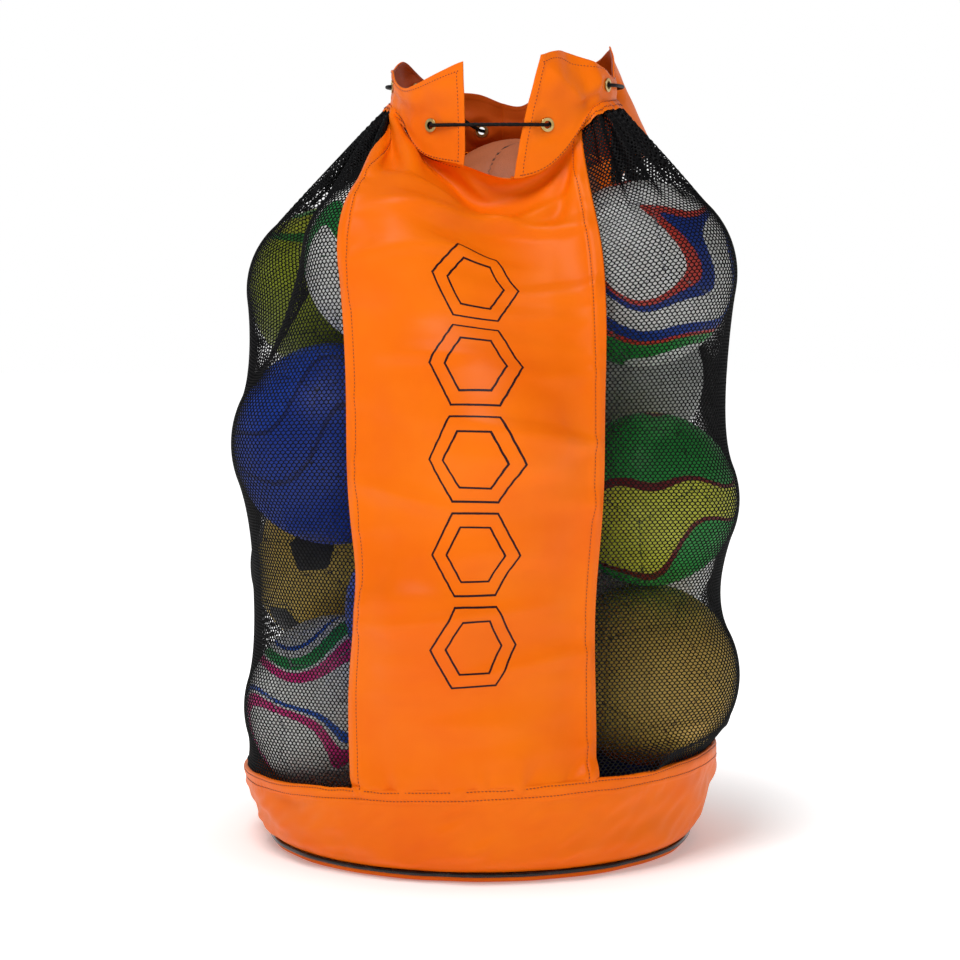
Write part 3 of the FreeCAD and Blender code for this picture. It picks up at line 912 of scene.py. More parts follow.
def cord_height(angle):
    spots = sorted((float(wrapped(a)), z) for a, z in EYELETS)
    knots = [spots[-1][0] - 360] + [a for a, z in spots] + [spots[0][0] + 360]
    heights = [spots[-1][1]] + [z for a, z in spots] + [spots[0][1]]
    return np.interp(wrapped(angle), knots, heights)


def wall_angle(neck_angle):
    """Angle on the bag's wall that meets the neck at this angle."""
    turn = (np.asarray(neck_angle, float) + 118) % 360 - 118
    return np.interp(turn, [NECK_EDGES[3] - 360, *NECK_EDGES],
                     [BACK_EDGES[1] - 360, *FRONT_EDGES, *BACK_EDGES])


def flap_fold(angle, z):
    """How far the right flap leans in beyond its diagonal crease."""
    (a0, z0), (a1, z1) = FLAP_CREASE
    along = np.array([math.radians(a1 - a0) * COLLAR_MEAN, z1 - z0])
    along /= np.linalg.norm(along)
    beyond = (z - z0) * along[0] - np.radians(angle - a0) * COLLAR_MEAN * along[1]
    ramp_up = 0.0006 * np.logaddexp(0, beyond / 0.0006)
    return FLAP_LEAN * ramp_up * smooth_step(angle, 14, 22) * (1 - smooth_step(angle, 36, 56))


def collar_shape(angle, share):
    """Height and distance from the neck's axis at a share of the collar's height."""
    heights = [round_curve(angle, NECK_SEAM, 1), cord_height(angle), round_curve(angle, COLLAR, 2),
               round_curve(angle, COLLAR, 4)]
    rhos = [round_curve(angle, NECK_SEAM, 2), round_curve(angle, COLLAR, 1), round_curve(angle, COLLAR, 3),
            round_curve(angle, COLLAR, 5)]
    z = curve_through(share, COLLAR_LEVELS, np.array(heights))
    rho = curve_through(share, COLLAR_LEVELS, np.array(rhos))
    rho = rho + 0.0011 * soft_noise(np.radians(angle) * COLLAR_MEAN, z, 41,
                                    0.045) * smooth_step(share, 0, 0.2)
    rho = rho - flap_fold(angle, z)
    for spot, height in EYELETS:
        off = np.radians(wrapped(angle - spot))
        near = np.hypot(EYELET_RHO * off, z - height)
        level = 1 - smooth_step(near, 0.0085, 0.020)
        flat = EYELET_RHO / np.maximum(np.cos(off), 0.5)
        rho = rho * (1 - level) + flat * level
    return z, rho


def collar_at(angle, share, lean):
    """Point of the collar; lean moves its lower part back along the right slit edge."""
    angle, share = np.broadcast_arrays(np.asarray(angle, float), np.asarray(share, float))
    real = angle - lean * (1 - share) * (1 - smooth_step(angle, RIGHT_SLIT, 42)) if lean else angle
    flat_angle, flat_share = real.ravel(), share.ravel()
    z, rho = collar_shape(flat_angle, np.clip(flat_share, 0, 1))
    above = about_neck(flat_angle, rho, z)
    return above.reshape(angle.shape + (3,)), real


def lap_on_wall(angle, share, lift):
    """Point over the wall near the neck, on a shape that passes over the net's small pleats."""
    turns = (-3.0, -1.5, 0.0, 1.5, 3.0)
    here = sum(wall_at(angle + turn, share) for turn in turns) / len(turns)
    across = wall_at(angle + 4, share) - wall_at(angle - 4, share)
    up = wall_at(angle, 1.0) - wall_at(angle, 0.965)
    return here + unit(np.cross(across, up)) * np.asarray(lift)[..., None]


def collar_off(angle, share, lift, lean):
    """Point lifted off the collar; shares below 0 lap over the bag's wall."""
    angle, share = np.broadcast_arrays(np.asarray(angle, float), np.asarray(share, float))
    here, real = collar_at(angle, share, lean)
    across = collar_at(angle + 0.3, share, lean)[0] - collar_at(angle - 0.3, share, lean)[0]
    up = collar_at(angle, np.minimum(share + 0.02, 1),
                   lean)[0] - collar_at(angle, np.maximum(share - 0.02, 0), lean)[0]
    out = unit(np.cross(across, up))
    lapped = lap_on_wall(wall_angle(real), 1 + np.minimum(share, 0) * 0.012 / 0.1, lift + 0.0030)
    raised = here + out * np.asarray(lift)[..., None]
    near = smooth_step(share, -0.02, 0.10)[..., None]
    return raised * near + lapped * (1 - near)


def collar_half(name, angles, lean, corner, replaced):
    """Half of the collar, from its slit edge to the seam at the back, as cloth with two faces."""
    shares = np.concatenate([[-.10, -.097, -.07, -.035], np.linspace(0, 0.90, 44),
                             [.915, .93, .945, .96, .975, .99, 1]])
    across, up = np.meshgrid(angles, shares)
    from_slit = np.abs(across - angles[0]) * math.pi / 180 * COLLAR_MEAN
    from_top = (1 - up) * 0.085
    hem = 0.0006 * np.maximum(1 - smooth_step(from_slit, 0.0085, 0.0100),
                              1 - smooth_step(from_top, 0.0085, 0.0100))
    edge = np.minimum(from_slit, np.minimum(from_top, (up + 0.10) * 0.09))
    half = NYLON / 2 * (0.35 + 0.65 * smooth_step(edge, 0, 0.0009))
    outer = collar_off(across, up, half + hem, lean)
    inner = collar_off(across, up, -half - hem * 0.5, lean)
    rows, columns = across.shape
    size = rows * columns
    front = grid_faces(rows, columns)
    middle = outer.reshape(-1, 3)[front].mean(1)
    keep = np.ones(len(front), bool)
    for spot, height in EYELETS:
        axis = about_neck(spot, EYELET_RHO, height)
        keep &= np.linalg.norm(middle - axis, axis=1) > 0.0060
    front = front[keep]
    edges = np.stack([front, np.roll(front, -1, 1)], -1).reshape(-1, 2)
    pairs, uses = np.unique(np.sort(edges, 1), axis=0, return_counts=True)
    open_pairs = set(map(tuple, pairs[uses == 1]))
    start, end = np.array([e for e in edges if tuple(sorted(e)) in open_pairs]).T
    rim = np.stack([end, start, start + size, end + size], 1)
    back = front[:, ::-1] + size
    if angles[-1] < angles[0]:
        front, back, rim = front[:, ::-1], back[:, ::-1], rim[:, ::-1]
    faces = np.concatenate([front, rim, back])
    # The inner faces take the darker material: coated backside and painted shade.
    groups = np.concatenate([np.zeros(len(front) + len(rim)), np.ones(len(back))])
    flat = np.stack([np.radians(across) * COLLAR_MEAN, up * 0.09], -1)
    points = np.concatenate([outer.reshape(-1, 3), inner.reshape(-1, 3)])
    used, index = np.unique(faces, return_inverse=True)
    flat = np.concatenate([flat.reshape(-1, 2), flat.reshape(-1, 2)])
    piece = mesh_object(name, points[used], index.reshape(faces.shape), [ORANGE, ORANGE_BACKSIDE_AND_SHADE],
                        cloth=flat[used],
                        groups=groups)
    fold_with_corner(piece, corner)
    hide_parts(*replaced)
    rows = []
    slit_in = 0.0072 / COLLAR_MEAN * 180 / math.pi * (1 if angles[-1] > angles[0] else -1)
    long_run = np.linspace(angles[0] + slit_in * 0.6, angles[-1], 400)
    short_run = np.linspace(0.02, 0.93, 60)
    for a, h in ((long_run, np.full(400, 0.915)), (long_run, np.full(400, 0.035)),
                 (long_run, np.full(400, -0.065)),
                 (np.full(60, angles[0] + slit_in), short_run)):
        low, high = (collar_off(a, h, np.full(a.shape, NYLON / 2 + lift), lean) for lift in (0.0003, 0.0013))
        rows.append((low, unit(high - low)))
    sewn = sewn_rows(name + "_stitches", rows, THREAD)
    fold_with_corner(sewn, corner)


def fold_with_corner(piece, corner):
    """Reads the corner's crease, which is the joint's axis, and bakes the piece's placement into its points;
    nothing here bends the piece.
    """
    joint = joint_named(corner + "_fold")
    crease, axis = Vector(joint["pos_m"]), Vector(joint["axis"])
    radial = Vector((crease.x - NECK_X, crease.y, 0)).normalized()
    ahead = axis.cross(radial).normalized()
    if ahead.z < 0:
        ahead = -ahead
    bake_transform(piece)


def collar():
    collar_half("collar_cloth_left", np.linspace(LEFT_SLIT, -180.6, 190), 0.0, "corner_left",
                ["collar", "collar_corner_left"])
    collar_half("collar_cloth_right", np.linspace(RIGHT_SLIT, 180.6, 190), SLIT_LEAN, "corner_right",
                ["collar_corner_right"])


# ---- cords ---------------------------------------------------------------------------------------
CORD_RADIUS = 0.0021
CORD_STAND_OFF = 0.007    # how far the drawcord stands off the collar, outside or inside it
LOCK_CORD_Z = 0.806
LOCK_ANGLE = 170.5        # the lock hangs behind the neck
TAIL_EXIT, TAIL_ASIDE = 0.198, 0.0026


def around_neck(angle, rho, z, aside=0.0):
    out, along = math.radians(angle), math.radians(angle + 90)
    return (NECK_X + rho * math.sin(out) + aside * math.sin(along),
            -rho * math.cos(out) - aside * math.cos(along), z)


def line_of(name, points):
    """Points along the smooth line of a cord's route."""
    curve = bpy.data.curves.new(name + "_line", "CURVE")
    curve.dimensions = "3D"
    curve.resolution_u = 24
    spline = curve.splines.new("NURBS")
    spline.points.add(len(points) - 1)
    for place, point in zip(spline.points, points):
        place.co = (*point, 1.0)
    spline.order_u = 3
    spline.use_endpoint_u = True
    holder = bpy.data.objects.new(name + "_line", curve)
    bpy.context.scene.collection.objects.link(holder)
    bpy.context.view_layer.update()
    mesh = bpy.data.meshes.new_from_object(holder)
    path = np.array([v.co for v in mesh.vertices])
    bpy.data.objects.remove(holder)
    bpy.data.meshes.remove(mesh)
    return path


def braid(name, route):
    """A braided cord along a route: strands cross over each other in a fine diamond pattern."""
    path, at = evenly(line_of(name, route), 0.0005)
    sides, turns_per_metre = 16, 130.0
    around = np.linspace(0, 2 * math.pi, sides, endpoint=False)
    left = np.cos(4 * around[None] + 2 * math.pi * turns_per_metre * at[:, None])
    right = np.cos(4 * around[None] - 2 * math.pi * turns_per_metre * at[:, None])
    radius = CORD_RADIUS * (0.95 + 0.05 * np.maximum(left, right))
    points, faces = tube_mesh(path, CORD_RADIUS, sides, radius)
    flat = np.concatenate([np.stack(np.broadcast_arrays(around[None] * CORD_RADIUS, at[:, None]),
                                    -1).reshape(-1, 2),
                           [[0, 0], [0, at[-1]]]])
    return mesh_object(name, points, faces, [CORD], cloth=flat), path


def drawcord():
    """One length through every eyelet, inside and outside the collar by turns, both ends in the lock."""
    turn = EYELETS[4:] + [(a + 360, z) for a, z in EYELETS[:4]]
    turn = [(a % 360 + (360 if k >= 4 else 0), z) for k, (a, z) in enumerate(turn)]
    turn[3] = (turn[3][0] % 360, turn[3][1])
    lead = math.degrees(CORD_STAND_OFF * math.tan(math.radians(30)) / EYELET_RHO)
    route = [around_neck(LOCK_ANGLE, rho, LOCK_CORD_Z, TAIL_ASIDE) for rho in (TAIL_EXIT, 0.141)]
    route.append(around_neck(turn[0][0] - lead, EYELET_RHO + CORD_STAND_OFF, turn[0][1]))
    outward = -1
    for (a, low), (b, high) in zip(turn, turn[1:]):
        rho = EYELET_RHO + outward * CORD_STAND_OFF
        route.append(around_neck(a + lead, rho, low))
        for share in (0.34, 0.67):
            route.append(around_neck(a + (b - a) * share, rho + outward * 0.001, low + (high - low) * share))
        route.append(around_neck(b - lead, rho, high))
        outward = -outward
    route.append(around_neck(turn[-1][0] + lead, EYELET_RHO + CORD_STAND_OFF, turn[-1][1]))
    route += [around_neck(LOCK_ANGLE, rho, LOCK_CORD_Z, -TAIL_ASIDE) for rho in (0.141, TAIL_EXIT)]
    ride_as(braid("drawcord_braid", route)[0], "black_cord", "drawcord")


def overhand_knot(name, middle, along, node_name):
    """A pulled-tight knot with a short sealed end."""
    t = np.linspace(0, 2 * math.pi, 120)
    size = 0.00118
    loop = np.stack([np.sin(t) + 2 * np.sin(2 * t), np.cos(t) - 2 * np.cos(2 * t), -1.5 * np.sin(3 * t)],
                    1) * size
    side = unit(np.cross(along, [0, 0, 1.0]))
    up = np.cross(side, along)
    path = middle + loop[:, :1] * side + loop[:, 1:2] * up + loop[:, 2:] * along
    points, faces = tube_mesh(path, 0.00185, 12)
    tip = np.array([middle - along * 0.001, middle + along * 0.0035, middle + along * 0.0060])
    more, caps = tube_mesh(tip, 0.0016, 12)
    faces = [np.concatenate([faces[0], caps[0] + len(points)]),
             np.concatenate([faces[1], caps[1] + len(points)])]
    both = np.concatenate([points, more])
    piece = mesh_object(name, both, faces, [CORD], cloth=both[:, :2])
    return ride_as(piece, "black_cord", node_name)


def tails():
    spots = [(TAIL_EXIT, LOCK_CORD_Z, TAIL_ASIDE), (.216, LOCK_CORD_Z, TAIL_ASIDE), (.237, .797, .0040),
             (.255, .780, .0065), (.269, .759, .0090), (.279, .735, .0120), (.287, .711, .0150)]
    for side_name, side in (("right", 1), ("left", -1)):
        route = [around_neck(LOCK_ANGLE, rho, z, side * aside) for rho, z, aside in spots]
        piece, path = braid("tail_braid_" + side_name, route)
        ride_as(piece, "black_cord", "tail_" + side_name)
        along = unit(np.array(route[-1]) - np.array(route[-2]))
        knot = overhand_knot("knot_" + side_name, np.array(route[-1]) + along * 0.0046, along,
                             "tail_knot_" + side_name)


# ---- shoulder strap on the back ------------------------------------------------------------------
STRAP_HALF = 0.019
PATCH_HALF = 0.025


def taut_line(heights, depths):
    """The outer hull of a profile: what a strap pulled over it follows."""
    hull = []
    for point in zip(heights, depths):
        while len(hull) > 1:
            (z0, y0), (z1, y1) = hull[-2], hull[-1]
            if (y1 - y0) * (point[0] - z0) <= (point[1] - y0) * (z1 - z0):
                hull.pop()
            else:
                break
        hull.append(point)
    hull = np.array(hull)
    return np.interp(heights, hull[:, 0], hull[:, 1])


def back_share(z):
    """Share of the wall's height where its back middle stands at height z."""
    shares = np.linspace(0.05, 0.99, 400)
    return np.interp(z, wall_at(180.0, shares)[:, 2], shares)


def back_face(x, z):
    """Depth of the back panel's outer face across its middle and up."""
    share = back_share(z)
    up = (share - HEM_SHARE) / (1 - HEM_SHARE) * SIDE_TALL
    return panel_point(BACK_EDGES, -np.asarray(x, float), up, 0.0, BACK_SEED)[..., 1]


def strap():
    middle, span = span_of("strap_webbing")
    x0 = float(middle[0])
    low, high = float(middle[2] - span[2] / 2), float(middle[2] + span[2] / 2)
    z = np.arange(low, high, 0.0012)
    on_wall = np.max([back_face(across, z) for across in (-.018, -.009, 0, .009, .018)], 0) + 0.0016
    slider_middle = span_of("strap_slider")[0]
    lowest, highest = joint_named("strap_slider_slide")["range_m"]
    travel = (z > slider_middle[2] + lowest - 0.024) & (z < slider_middle[2] + highest + 0.024)
    on_wall = np.where(travel, slider_middle[1] + 0.0008, on_wall)
    depth = taut_line(z, on_wall)
    across = np.array([-1, -.985, -.95, -.86, -.62, -.36, -.12, .12, .36, .62, .86, .95, .985,
                       1]) * STRAP_HALF
    half = 0.00085 * np.sqrt(1 - (np.abs(across) / STRAP_HALF) ** 12 * 0.85)
    rib = 0.00010 * np.cos(np.arange(len(z)) * math.pi)[:,
                                                        None] * np.cos(np.arange(len(across)) * math.pi)[None]
    outer, inner = depth[:, None] + half[None] + rib, depth[:, None] - half[None] - rib
    sheet_x, sheet_z = np.meshgrid(x0 + across, z)
    points = np.concatenate([np.stack([sheet_x, outer, sheet_z], -1).reshape(-1, 3),
                             np.stack([sheet_x, inner, sheet_z], -1).reshape(-1, 3)])
    rows, columns = sheet_x.shape
    size = rows * columns
    quads = grid_faces(rows, columns)
    sides = (np.arange(columns), np.arange(1, rows) * columns + columns - 1,
             (rows - 1) * columns + np.arange(columns - 1)[::-1], np.arange(1, rows - 1)[::-1] * columns)
    loop = np.concatenate(sides)
    after = np.roll(loop, -1)
    rim = np.stack([loop, after, after + size, loop + size], 1)
    piece = mesh_object("strap_web", points, np.concatenate([quads[:, ::-1], rim, quads + size]), [WEBBING],
                        cloth=points[:, [0, 2]])
    ride_as(piece, "black_webbing", "strap_webbing")
    for node_name in ("strap_patch_top", "strap_patch_bottom"):
        patch(node_name, x0, z, depth)


def patch(node_name, x0, strap_z, strap_depth):
    """A reinforcement of nylon on the back panel with the webbing's end box-stitched to it."""
    middle, span = span_of(node_name)
    low, high = float(middle[2] - span[2] / 2), float(middle[2] + span[2] / 2)
    edge = [0, .0006, .0015, .004]
    xs = np.concatenate([-PATCH_HALF + np.array(edge), np.arange(-.019, .0195, .002),
                         (PATCH_HALF - np.array(edge))[::-1]])
    zs = np.concatenate([low + np.array(edge), np.arange(low + .006, high - .005, .002),
                         (high - np.array(edge))[::-1]])
    sheet_x, sheet_z = np.meshgrid(xs, zs)
    inset = np.minimum(PATCH_HALF - np.abs(sheet_x), np.minimum(sheet_z - low, high - sheet_z))
    face = back_face(sheet_x, sheet_z) + 0.0014
    depth = face - 0.0012 * (1 - smooth_step(inset, 0,
                                             0.0012)) + 0.0004 * soft_noise(sheet_x, sheet_z, 51, 0.02)
    points = np.stack([x0 + sheet_x, depth, sheet_z], -1)
    quads = grid_faces(len(zs), len(xs))[:, ::-1]
    piece = mesh_object(node_name + "_cloth", points, quads, [ORANGE], cloth=np.stack([sheet_x, sheet_z], -1))
    ride_as(piece, "orange_nylon", node_name)
    out = np.array([0, 1.0, 0])
    rows = []
    inner_low, inner_high = max(low + 0.006, float(strap_z[0])
                                + 0.003), min(high - 0.006, float(strap_z[-1]) - 0.003)
    corners = [(-.0155, inner_low), (.0155, inner_low), (.0155, inner_high), (-.0155, inner_high)]
    for a, b in ((0, 1), (1, 2), (2, 3), (3, 0), (0, 2), (1, 3)):
        t = np.linspace(0.01, 0.99, 40)[:, None]
        flat = np.array(corners[a]) * (1 - t) + np.array(corners[b]) * t
        y = np.interp(flat[:, 1], strap_z, strap_depth) + 0.0010
        rows.append((np.stack([x0 + flat[:, 0], y, flat[:, 1]], 1), np.repeat(out[None], 40, 0)))
    stitches(node_name + "_stitches", rows, DARK_THREAD, "black_webbing")


# ---- balls ---------------------------------------------------------------------------------------
GOLDEN = (1 + math.sqrt(5)) / 2


def ball_template(level):
    """Points and triangles of a unit ball."""
    made = bmesh.new()
    bmesh.ops.create_icosphere(made, subdivisions=level, radius=1.0)
    points = np.array([v.co for v in made.verts])
    faces = np.array([[v.index for v in f.verts] for f in made.faces])
    made.free()
    return unit(points), faces


def panel_centres(kind):
    """Centres of a ball's panels and how far each panel's plane stands from the ball's centre."""
    corners = []
    for a in (-1, 1):
        for b in (-GOLDEN, GOLDEN):
            corners += [(0, a, b), (a, b, 0), (b, 0, a)]
    five = unit(np.array(corners, float))
    near = 2.2 / math.hypot(1, GOLDEN)
    six = []
    for i in range(12):
        for j in range(i + 1, 12):
            for k in range(j + 1, 12):
                if max(np.linalg.norm(five[i] - five[j]), np.linalg.norm(five[j] - five[k]),
                       np.linalg.norm(five[i] - five[k])) < near:
                    six.append(unit(five[i] + five[j] + five[k]))
    if kind == "twelve":
        return five, np.ones(12)
    return np.concatenate([five, np.array(six)]), np.concatenate([np.full(12, 0.9393), np.full(20, 0.9150)])


def turned_by(points, yaw, pitch):
    a, b = math.radians(yaw), math.radians(pitch)
    about_z = np.array([[math.cos(a), -math.sin(a), 0], [math.sin(a), math.cos(a), 0], [0, 0, 1]])
    about_x = np.array([[1, 0, 0], [0, math.cos(b), -math.sin(b)], [0, math.sin(b), math.cos(b)]])
    return points @ (about_x @ about_z).T


def seam_field(points, kind):
    """Distance to the nearest seam, and a patch field from 0 to 1 that crosses 0.5 between panel kinds."""
    if kind == "ribs":
        x, y, z = points.T
        side = np.abs(np.abs(y) - 0.50 - 0.30 * x * x) * 0.9
        return np.minimum(np.minimum(np.abs(x), np.abs(z)), side), np.full(len(points), 0.6)
    centres, planes = panel_centres(kind)
    score = points @ (centres / planes[:, None]).T
    order = np.argsort(score, 1)[:, -2:]
    best, second = score[np.arange(len(points)), order[:, 1]], score[np.arange(len(points)), order[:, 0]]
    gap = np.linalg.norm(centres[order[:, 1]] - centres[order[:, 0]], axis=1)
    distance = (best - second) / gap
    fives, owner = np.max(score[:, :12], 1), order[:, 1] < 12
    other = np.max(score[:, 12:], 1) if score.shape[1] > 12 else fives - 1
    return distance, np.clip(0.5 + (other - fives) * 1.2, 0, 1)


def swirl_field(points, wave, turns):
    """A field of flowing bands from 0 to 1."""
    x, y, z = points.T
    flow = z + 0.30 * np.sin(turns * np.arctan2(y, x) + 2.0 * z) + 0.12 * np.sin(5 * x + 3 * y)
    return np.clip(0.5 + 0.36 * flow * wave, 0, 1)


def ball_cover(name, stops, seam_tint, roughness, grain, grain_depth):
    """A ball's cover: crisp colours from its art field, dark seams, a fine grain and a little scuffing."""
    material, tree, shader = new_material(name)
    art = node(tree, "Attribute", {"attribute_name": "art"}).outputs["Fac"]
    seam = node(tree, "Attribute", {"attribute_name": "seam"}).outputs["Fac"]
    place = node(tree, "TexCoord").outputs["Object"]
    cells = node(tree, "TexVoronoi", Vector=place, Scale=grain).outputs["Distance"]
    scuff = noise(tree, place, Scale=45.0, Detail=5.0, Roughness=0.6)
    painted = ramp(tree, art, *stops, crisp=True)
    worn = node(tree, "Mix", {"data_type": "RGBA", "blend_type": "MULTIPLY"}, i0=0.35, i6=painted,
                i7=ramp(tree, scuff, (0.35, colour(.72, .70, .66)), (0.6, colour(1, 1, 1)))).outputs[2]
    line = node(tree, "MapRange", Value=seam, i1=0.006, i2=0.014).outputs[0]
    tint = node(tree, "Mix", {"data_type": "RGBA"}, i0=line, i6=seam_tint, i7=worn).outputs[2]
    bump = node(tree, "Bump", Strength=grain_depth, Distance=0.0006, Height=cells).outputs[0]
    rough = node(tree, "MapRange", Value=scuff, i3=roughness - 0.06, i4=roughness + 0.12).outputs[0]
    connect(tree, shader, Base_Color=tint, Roughness=rough, Normal=bump, Specular_IOR_Level=0.45)
    return material


WHITE, INKY = colour(.95, .95, .93), colour(.02, .02, .02)
BALL_LOOKS = {
    # look: panels, yaw, pitch, swirl (wave, turns) or None for patches, colour stops, seam, roughness, grain
    "white_pink": ("soccer", 20, 35, (1.0, 3), [(0, WHITE), (.30, colour(.85, .03, .28)), (.345, WHITE),
                   (.36, colour(.02, .12, .60)), (.385, WHITE), (.52, colour(.85, .03, .28)), (.575, WHITE),
                   (.59, colour(.03, .38, .10)), (.66, WHITE), (.70, colour(.02, .12, .60)), (.725, WHITE)],
                   colour(.30, .30, .32), .32, 900, .15),
    "gold_black": ("soccer", 50, 20, None, [(0, INKY), (.46, colour(.78, .54, .09))], INKY, .40, 700, .25),
    "deep_blue": ("twelve", 10, 15, (.9, 2), [(0, colour(.008, .060, .50)), (.44, colour(.004, .025, .22)),
                  (.455, colour(.008, .060, .50)), (.60,
                                                    colour(.004, .025,
                                                           .22)), (.612, colour(.010, .075, .58))],
                  colour(.004, .008, .06), .38, 620, .4),
    # These stops are darkened: partly the ball's own olive and green colour, partly painted shade from the
    # dense net over it.
    "lime": ("twelve", 35, 60, (1.2, 3), [(0, colour(.30, .36, .015)), (.40, colour(.02, .17, .02)),
             (.47, colour(.34, .38, .02)), (.66, colour(.04, .24, .03)), (.74, colour(.32, .36, .015))],
             colour(.05, .07, .01), .36, 700, .25),
    "white_green": ("soccer", 75, 25, (1.1, 2), [(0, WHITE), (.38, colour(.02, .28, .06)), (.47, WHITE),
                    (.62, colour(.05, .40, .08)), (.70, WHITE)], colour(.08, .16, .09), .32, 900, .15),
    "white_tricolour": ("twelve", 205, 40, (1.15, 3), [(0, WHITE), (.26, colour(.03, .36, .06)),
                        (.37, colour(.75, .05, .03)), (.41, colour(.01, .06, .42)), (.50, WHITE),
                        (.66, colour(.01, .05, .35)), (.70, colour(.70, .06, .04)), (.735, WHITE)],
                        colour(.22, .22, .25), .30, 900, .12),
    "pale_grey": ("soccer", 15, 75, (1.0, 2), [(0, colour(.52, .54, .52)), (.60, colour(.42, .45, .44))],
                  colour(.16, .17, .17), .36, 900, .15),
    "green_yellow": ("twelve", 190, 30, (.95, 2), [(0, colour(.03, .42, .07)), (.43, colour(.20, .010, .012)),
                     (.455, colour(.78, .80, .07)), (.66,
                                                     colour(.20, .010, .012)), (.685, colour(.03, .42, .07))],
                     colour(.02, .05, .01), .33, 800, .2),
    "old_gold": ("twelve", 30, 10, (.8, 1), [(0, colour(.80, .54, .11)), (.80, colour(.66, .43, .08))],
                 colour(.16, .09, .02), .42, 560, .45),
    "basketball": ("ribs", -30, 18, None, [(0, colour(.46, .125, .045)), (.9, colour(.40, .105, .04))],
                   colour(.012, .010, .010), .52, 520, .8),
}
BALL_CHOICE = {
    "ball_left_low": "white_pink", "ball_left_mid": "gold_black",
    "ball_left_wide": "deep_blue", "ball_left_high": "lime",
    "ball_left_shoulder": "white_green", "ball_right_shoulder": "white_tricolour",
    "ball_right_high": "pale_grey", "ball_right_mid": "green_yellow",
    "ball_right_low": "old_gold", "ball_mouth": "basketball",
    "ball_front_low": "pale_grey", "ball_front_mid": "deep_blue",
    "ball_front_high": "white_pink", "ball_back_low_left": "lime",
    "ball_back_low_right": "deep_blue", "ball_back_mid": "white_tricolour",
    "ball_back_high": "old_gold", "ball_back_right": "white_green",
    "ball_core": "pale_grey",
}
LOOK_SLOTS = {"white_pink": "white_cover", "gold_black": "gold_cover", "deep_blue": "blue_cover",
              "lime": "lime_cover",
              "white_green": "white_green_cover", "white_tricolour": "white_cover", "pale_grey": "grey_cover",
              "green_yellow": "lime_cover", "old_gold": "gold_cover", "basketball": "brown_cover"}
HIDDEN_BALLS = ("ball_core", "ball_front_low", "ball_front_mid", "ball_front_high")


def balls():
    covers = {}
    templates = {6: ball_template(6), 5: ball_template(5)}
    for number, (node_name, look) in enumerate(BALL_CHOICE.items()):
        panels, yaw, pitch, swirl, stops, seam_tint, roughness, grain, depth = BALL_LOOKS[look]
        if look not in covers:
            covers[look] = ball_cover(look + "_cover", stops, seam_tint, roughness, grain, depth)
        directions, faces = templates[5 if node_name in HIDDEN_BALLS else 6]
        local = turned_by(directions, yaw + 23 * (number > 9), pitch)
        seam, patches = seam_field(local, panels)
        art = swirl_field(local, *swirl) if swirl else patches
        middle, radius = BALLS[node_name]
        groove = 0.0011 * np.exp(-(seam / 0.017) ** 2) + (0.0008 * (seam < 0.016) if panels == "ribs" else 0)
        points = middle + directions * (radius - 0.0002 - groove)[:, None]
        piece = mesh_object(node_name + "_cover", points, faces, [covers[look]],
                            fields={"art": art, "seam": seam})
        ride_as(piece, LOOK_SLOTS[look], node_name)


# ---- the lock's spring ---------------------------------------------------------------------------
def lock_spring():
    """The coil under the button; it rides with the lock, and nothing here shortens it."""
    middle, span = span_of("lock_spring")
    wire = 0.00035
    low = float(middle[2] - span[2] / 2) + wire
    coil, tall = float(span[0]) / 2 - wire, float(span[2]) - 2 * wire
    turn = np.linspace(0, 2 * math.pi * 3.5, 260)
    path = np.stack([middle[0] + coil * np.cos(turn), middle[1] + coil * np.sin(turn),
                     low + tall * turn / turn[-1]], 1)
    points, faces = tube_mesh(path, wire, 10)
    piece = mesh_object("lock_spring_coil", points, faces, [STEEL])
    ride_as(piece, "spring_steel", "lock_spring", body="cord_lock")
    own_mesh(piece)


# ---- CAD pieces that stay: better finishes -------------------------------------------------------
def finish_cad_pieces():
    finishes = {"lock_barrel": PLASTIC, "lock_button": PLASTIC, "strap_slider": PLASTIC}
    for number in range(1, 9):
        finishes["eyelet_%d" % number] = BRASS
        finishes["eyelet_washer_%d" % number] = BRASS
    for node_name, material in finishes.items():
        mesh = frame["nodes"][node_name].data
        mesh.materials.clear()
        mesh.materials.append(material)


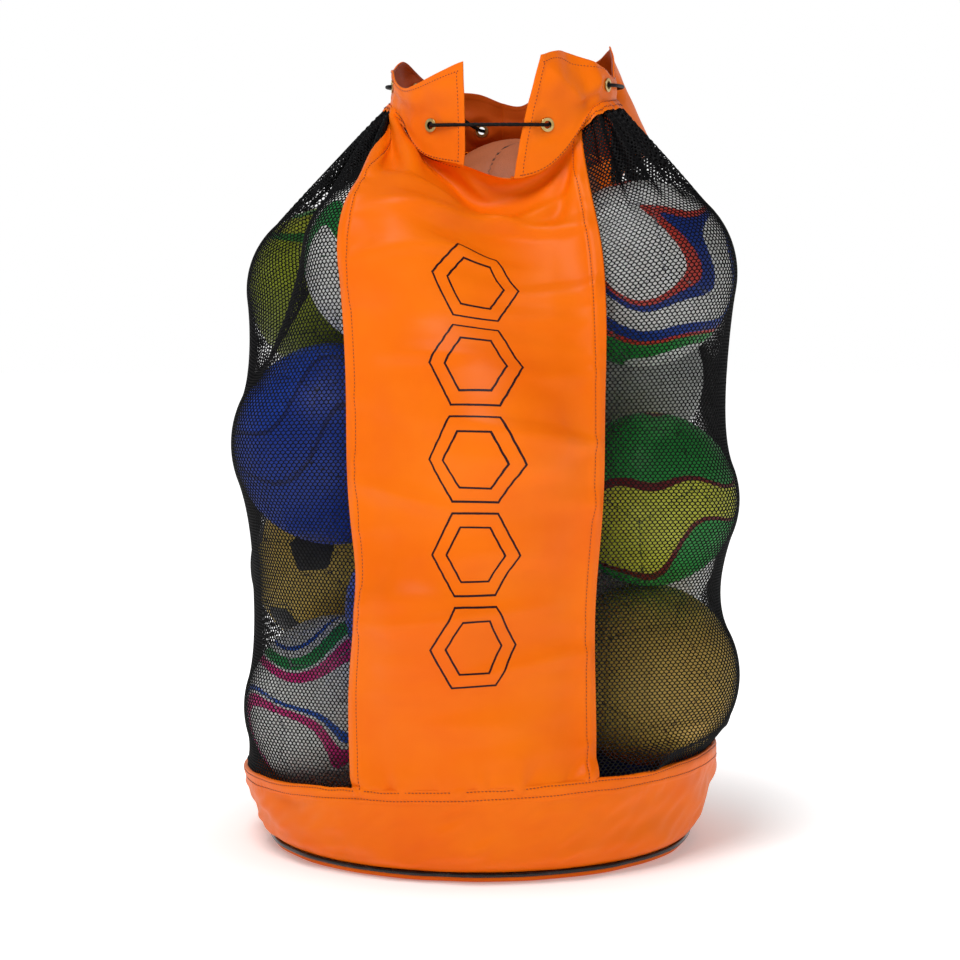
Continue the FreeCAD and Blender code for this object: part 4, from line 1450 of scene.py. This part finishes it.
# ---- floor, light and camera ---------------------------------------------------------------------
def floor():
    mesh = bpy.data.meshes.new("floor")
    size = 9.0
    mesh.from_pydata([(-size, -size, 0), (size, -size, 0), (size, size, 0), (-size, size, 0)], [],
                     [(0, 1, 2, 3)])
    material, tree, shader = new_material("pale_floor")
    place = node(tree, "TexCoord").outputs["Object"]
    mottle = noise(tree, place, Scale=3.0, Detail=2.0)
    away = node(tree, "VectorMath", {"operation": "LENGTH"}, i0=place).outputs["Value"]
    # The floor glows evenly white far off but glows less near the bag: a painted darker pool round its foot.
    glow_and_painted_shadow = node(tree, "MapRange", Value=away, i1=0.24, i2=0.55, i3=0.22, i4=0.86).outputs[0]
    connect(tree, shader, Base_Color=ramp(tree, mottle, (0.3, colour(.92, .92, .92)),
                                          (0.7, colour(.95, .95, .95))),
            Roughness=0.9, Specular_IOR_Level=0.1, Emission_Color=colour(1, 1, 1), Emission_Strength=glow_and_painted_shadow)
    mesh.materials.append(material)
    piece = bpy.data.objects.new("floor", mesh)
    bpy.context.scene.collection.objects.link(piece)


def light(name, place, size, power):
    lamp = bpy.data.lights.new(name, "AREA")
    lamp.size, lamp.energy = size, power
    holder = bpy.data.objects.new(name, lamp)
    holder.location = place
    holder.rotation_euler = (Vector((0, 0, 0.45)) - Vector(place)).to_track_quat("-Z", "Y").to_euler()
    bpy.context.scene.collection.objects.link(holder)


def studio():
    scene = bpy.context.scene
    scene.view_settings.view_transform = "Standard"
    world = scene.world or bpy.data.worlds.new("world")
    scene.world = world
    world.use_nodes = True
    tree = world.node_tree
    background = tree.nodes["Background"]
    direction = node(tree, "SeparateXYZ", i0=node(tree, "TexCoord").outputs["Generated"]).outputs
    height, depth = direction["Z"], direction["Y"]
    overhead = node(tree, "MapRange", Value=height, i1=0.22, i2=0.55, i3=1.0, i4=0.24).outputs[0]
    ahead = node(tree, "MapRange", Value=depth, i1=-0.3, i2=0.6, i3=0.48, i4=1.0).outputs[0]
    dimmer = node(tree, "Math", {"operation": "MULTIPLY"}, i0=overhead, i1=ahead).outputs[0]
    tree.links.new(dimmer, background.inputs["Strength"])
    background.inputs["Color"].default_value = colour(1, 1, 1)
    light("key", (-0.7, -1.7, 3.2), 1.5, 76)
    light("fill", (2.4, -1.8, 1.4), 1.4, 6)


def camera():
    lens = bpy.data.cameras.new("camera")
    lens.lens, lens.sensor_width = 104.35, 36
    holder = bpy.data.objects.new("camera", lens)
    holder.location = (0, -3.2, 0.73)
    holder.rotation_euler = (math.radians(84.4), 0, 0)
    bpy.context.scene.collection.objects.link(holder)
    bpy.context.scene.camera = holder


camera()
drawcord()
tails()
panel("front_panel_cloth", FRONT_EDGES, FRONT_SEED, "front_panel")
panel("back_panel_cloth", BACK_EDGES, BACK_SEED, "back_panel")
printed_motif()
net_sides()
band()
base()
collar()
strap()
balls()
lock_spring()
finish_cad_pieces()
floor()
studio()
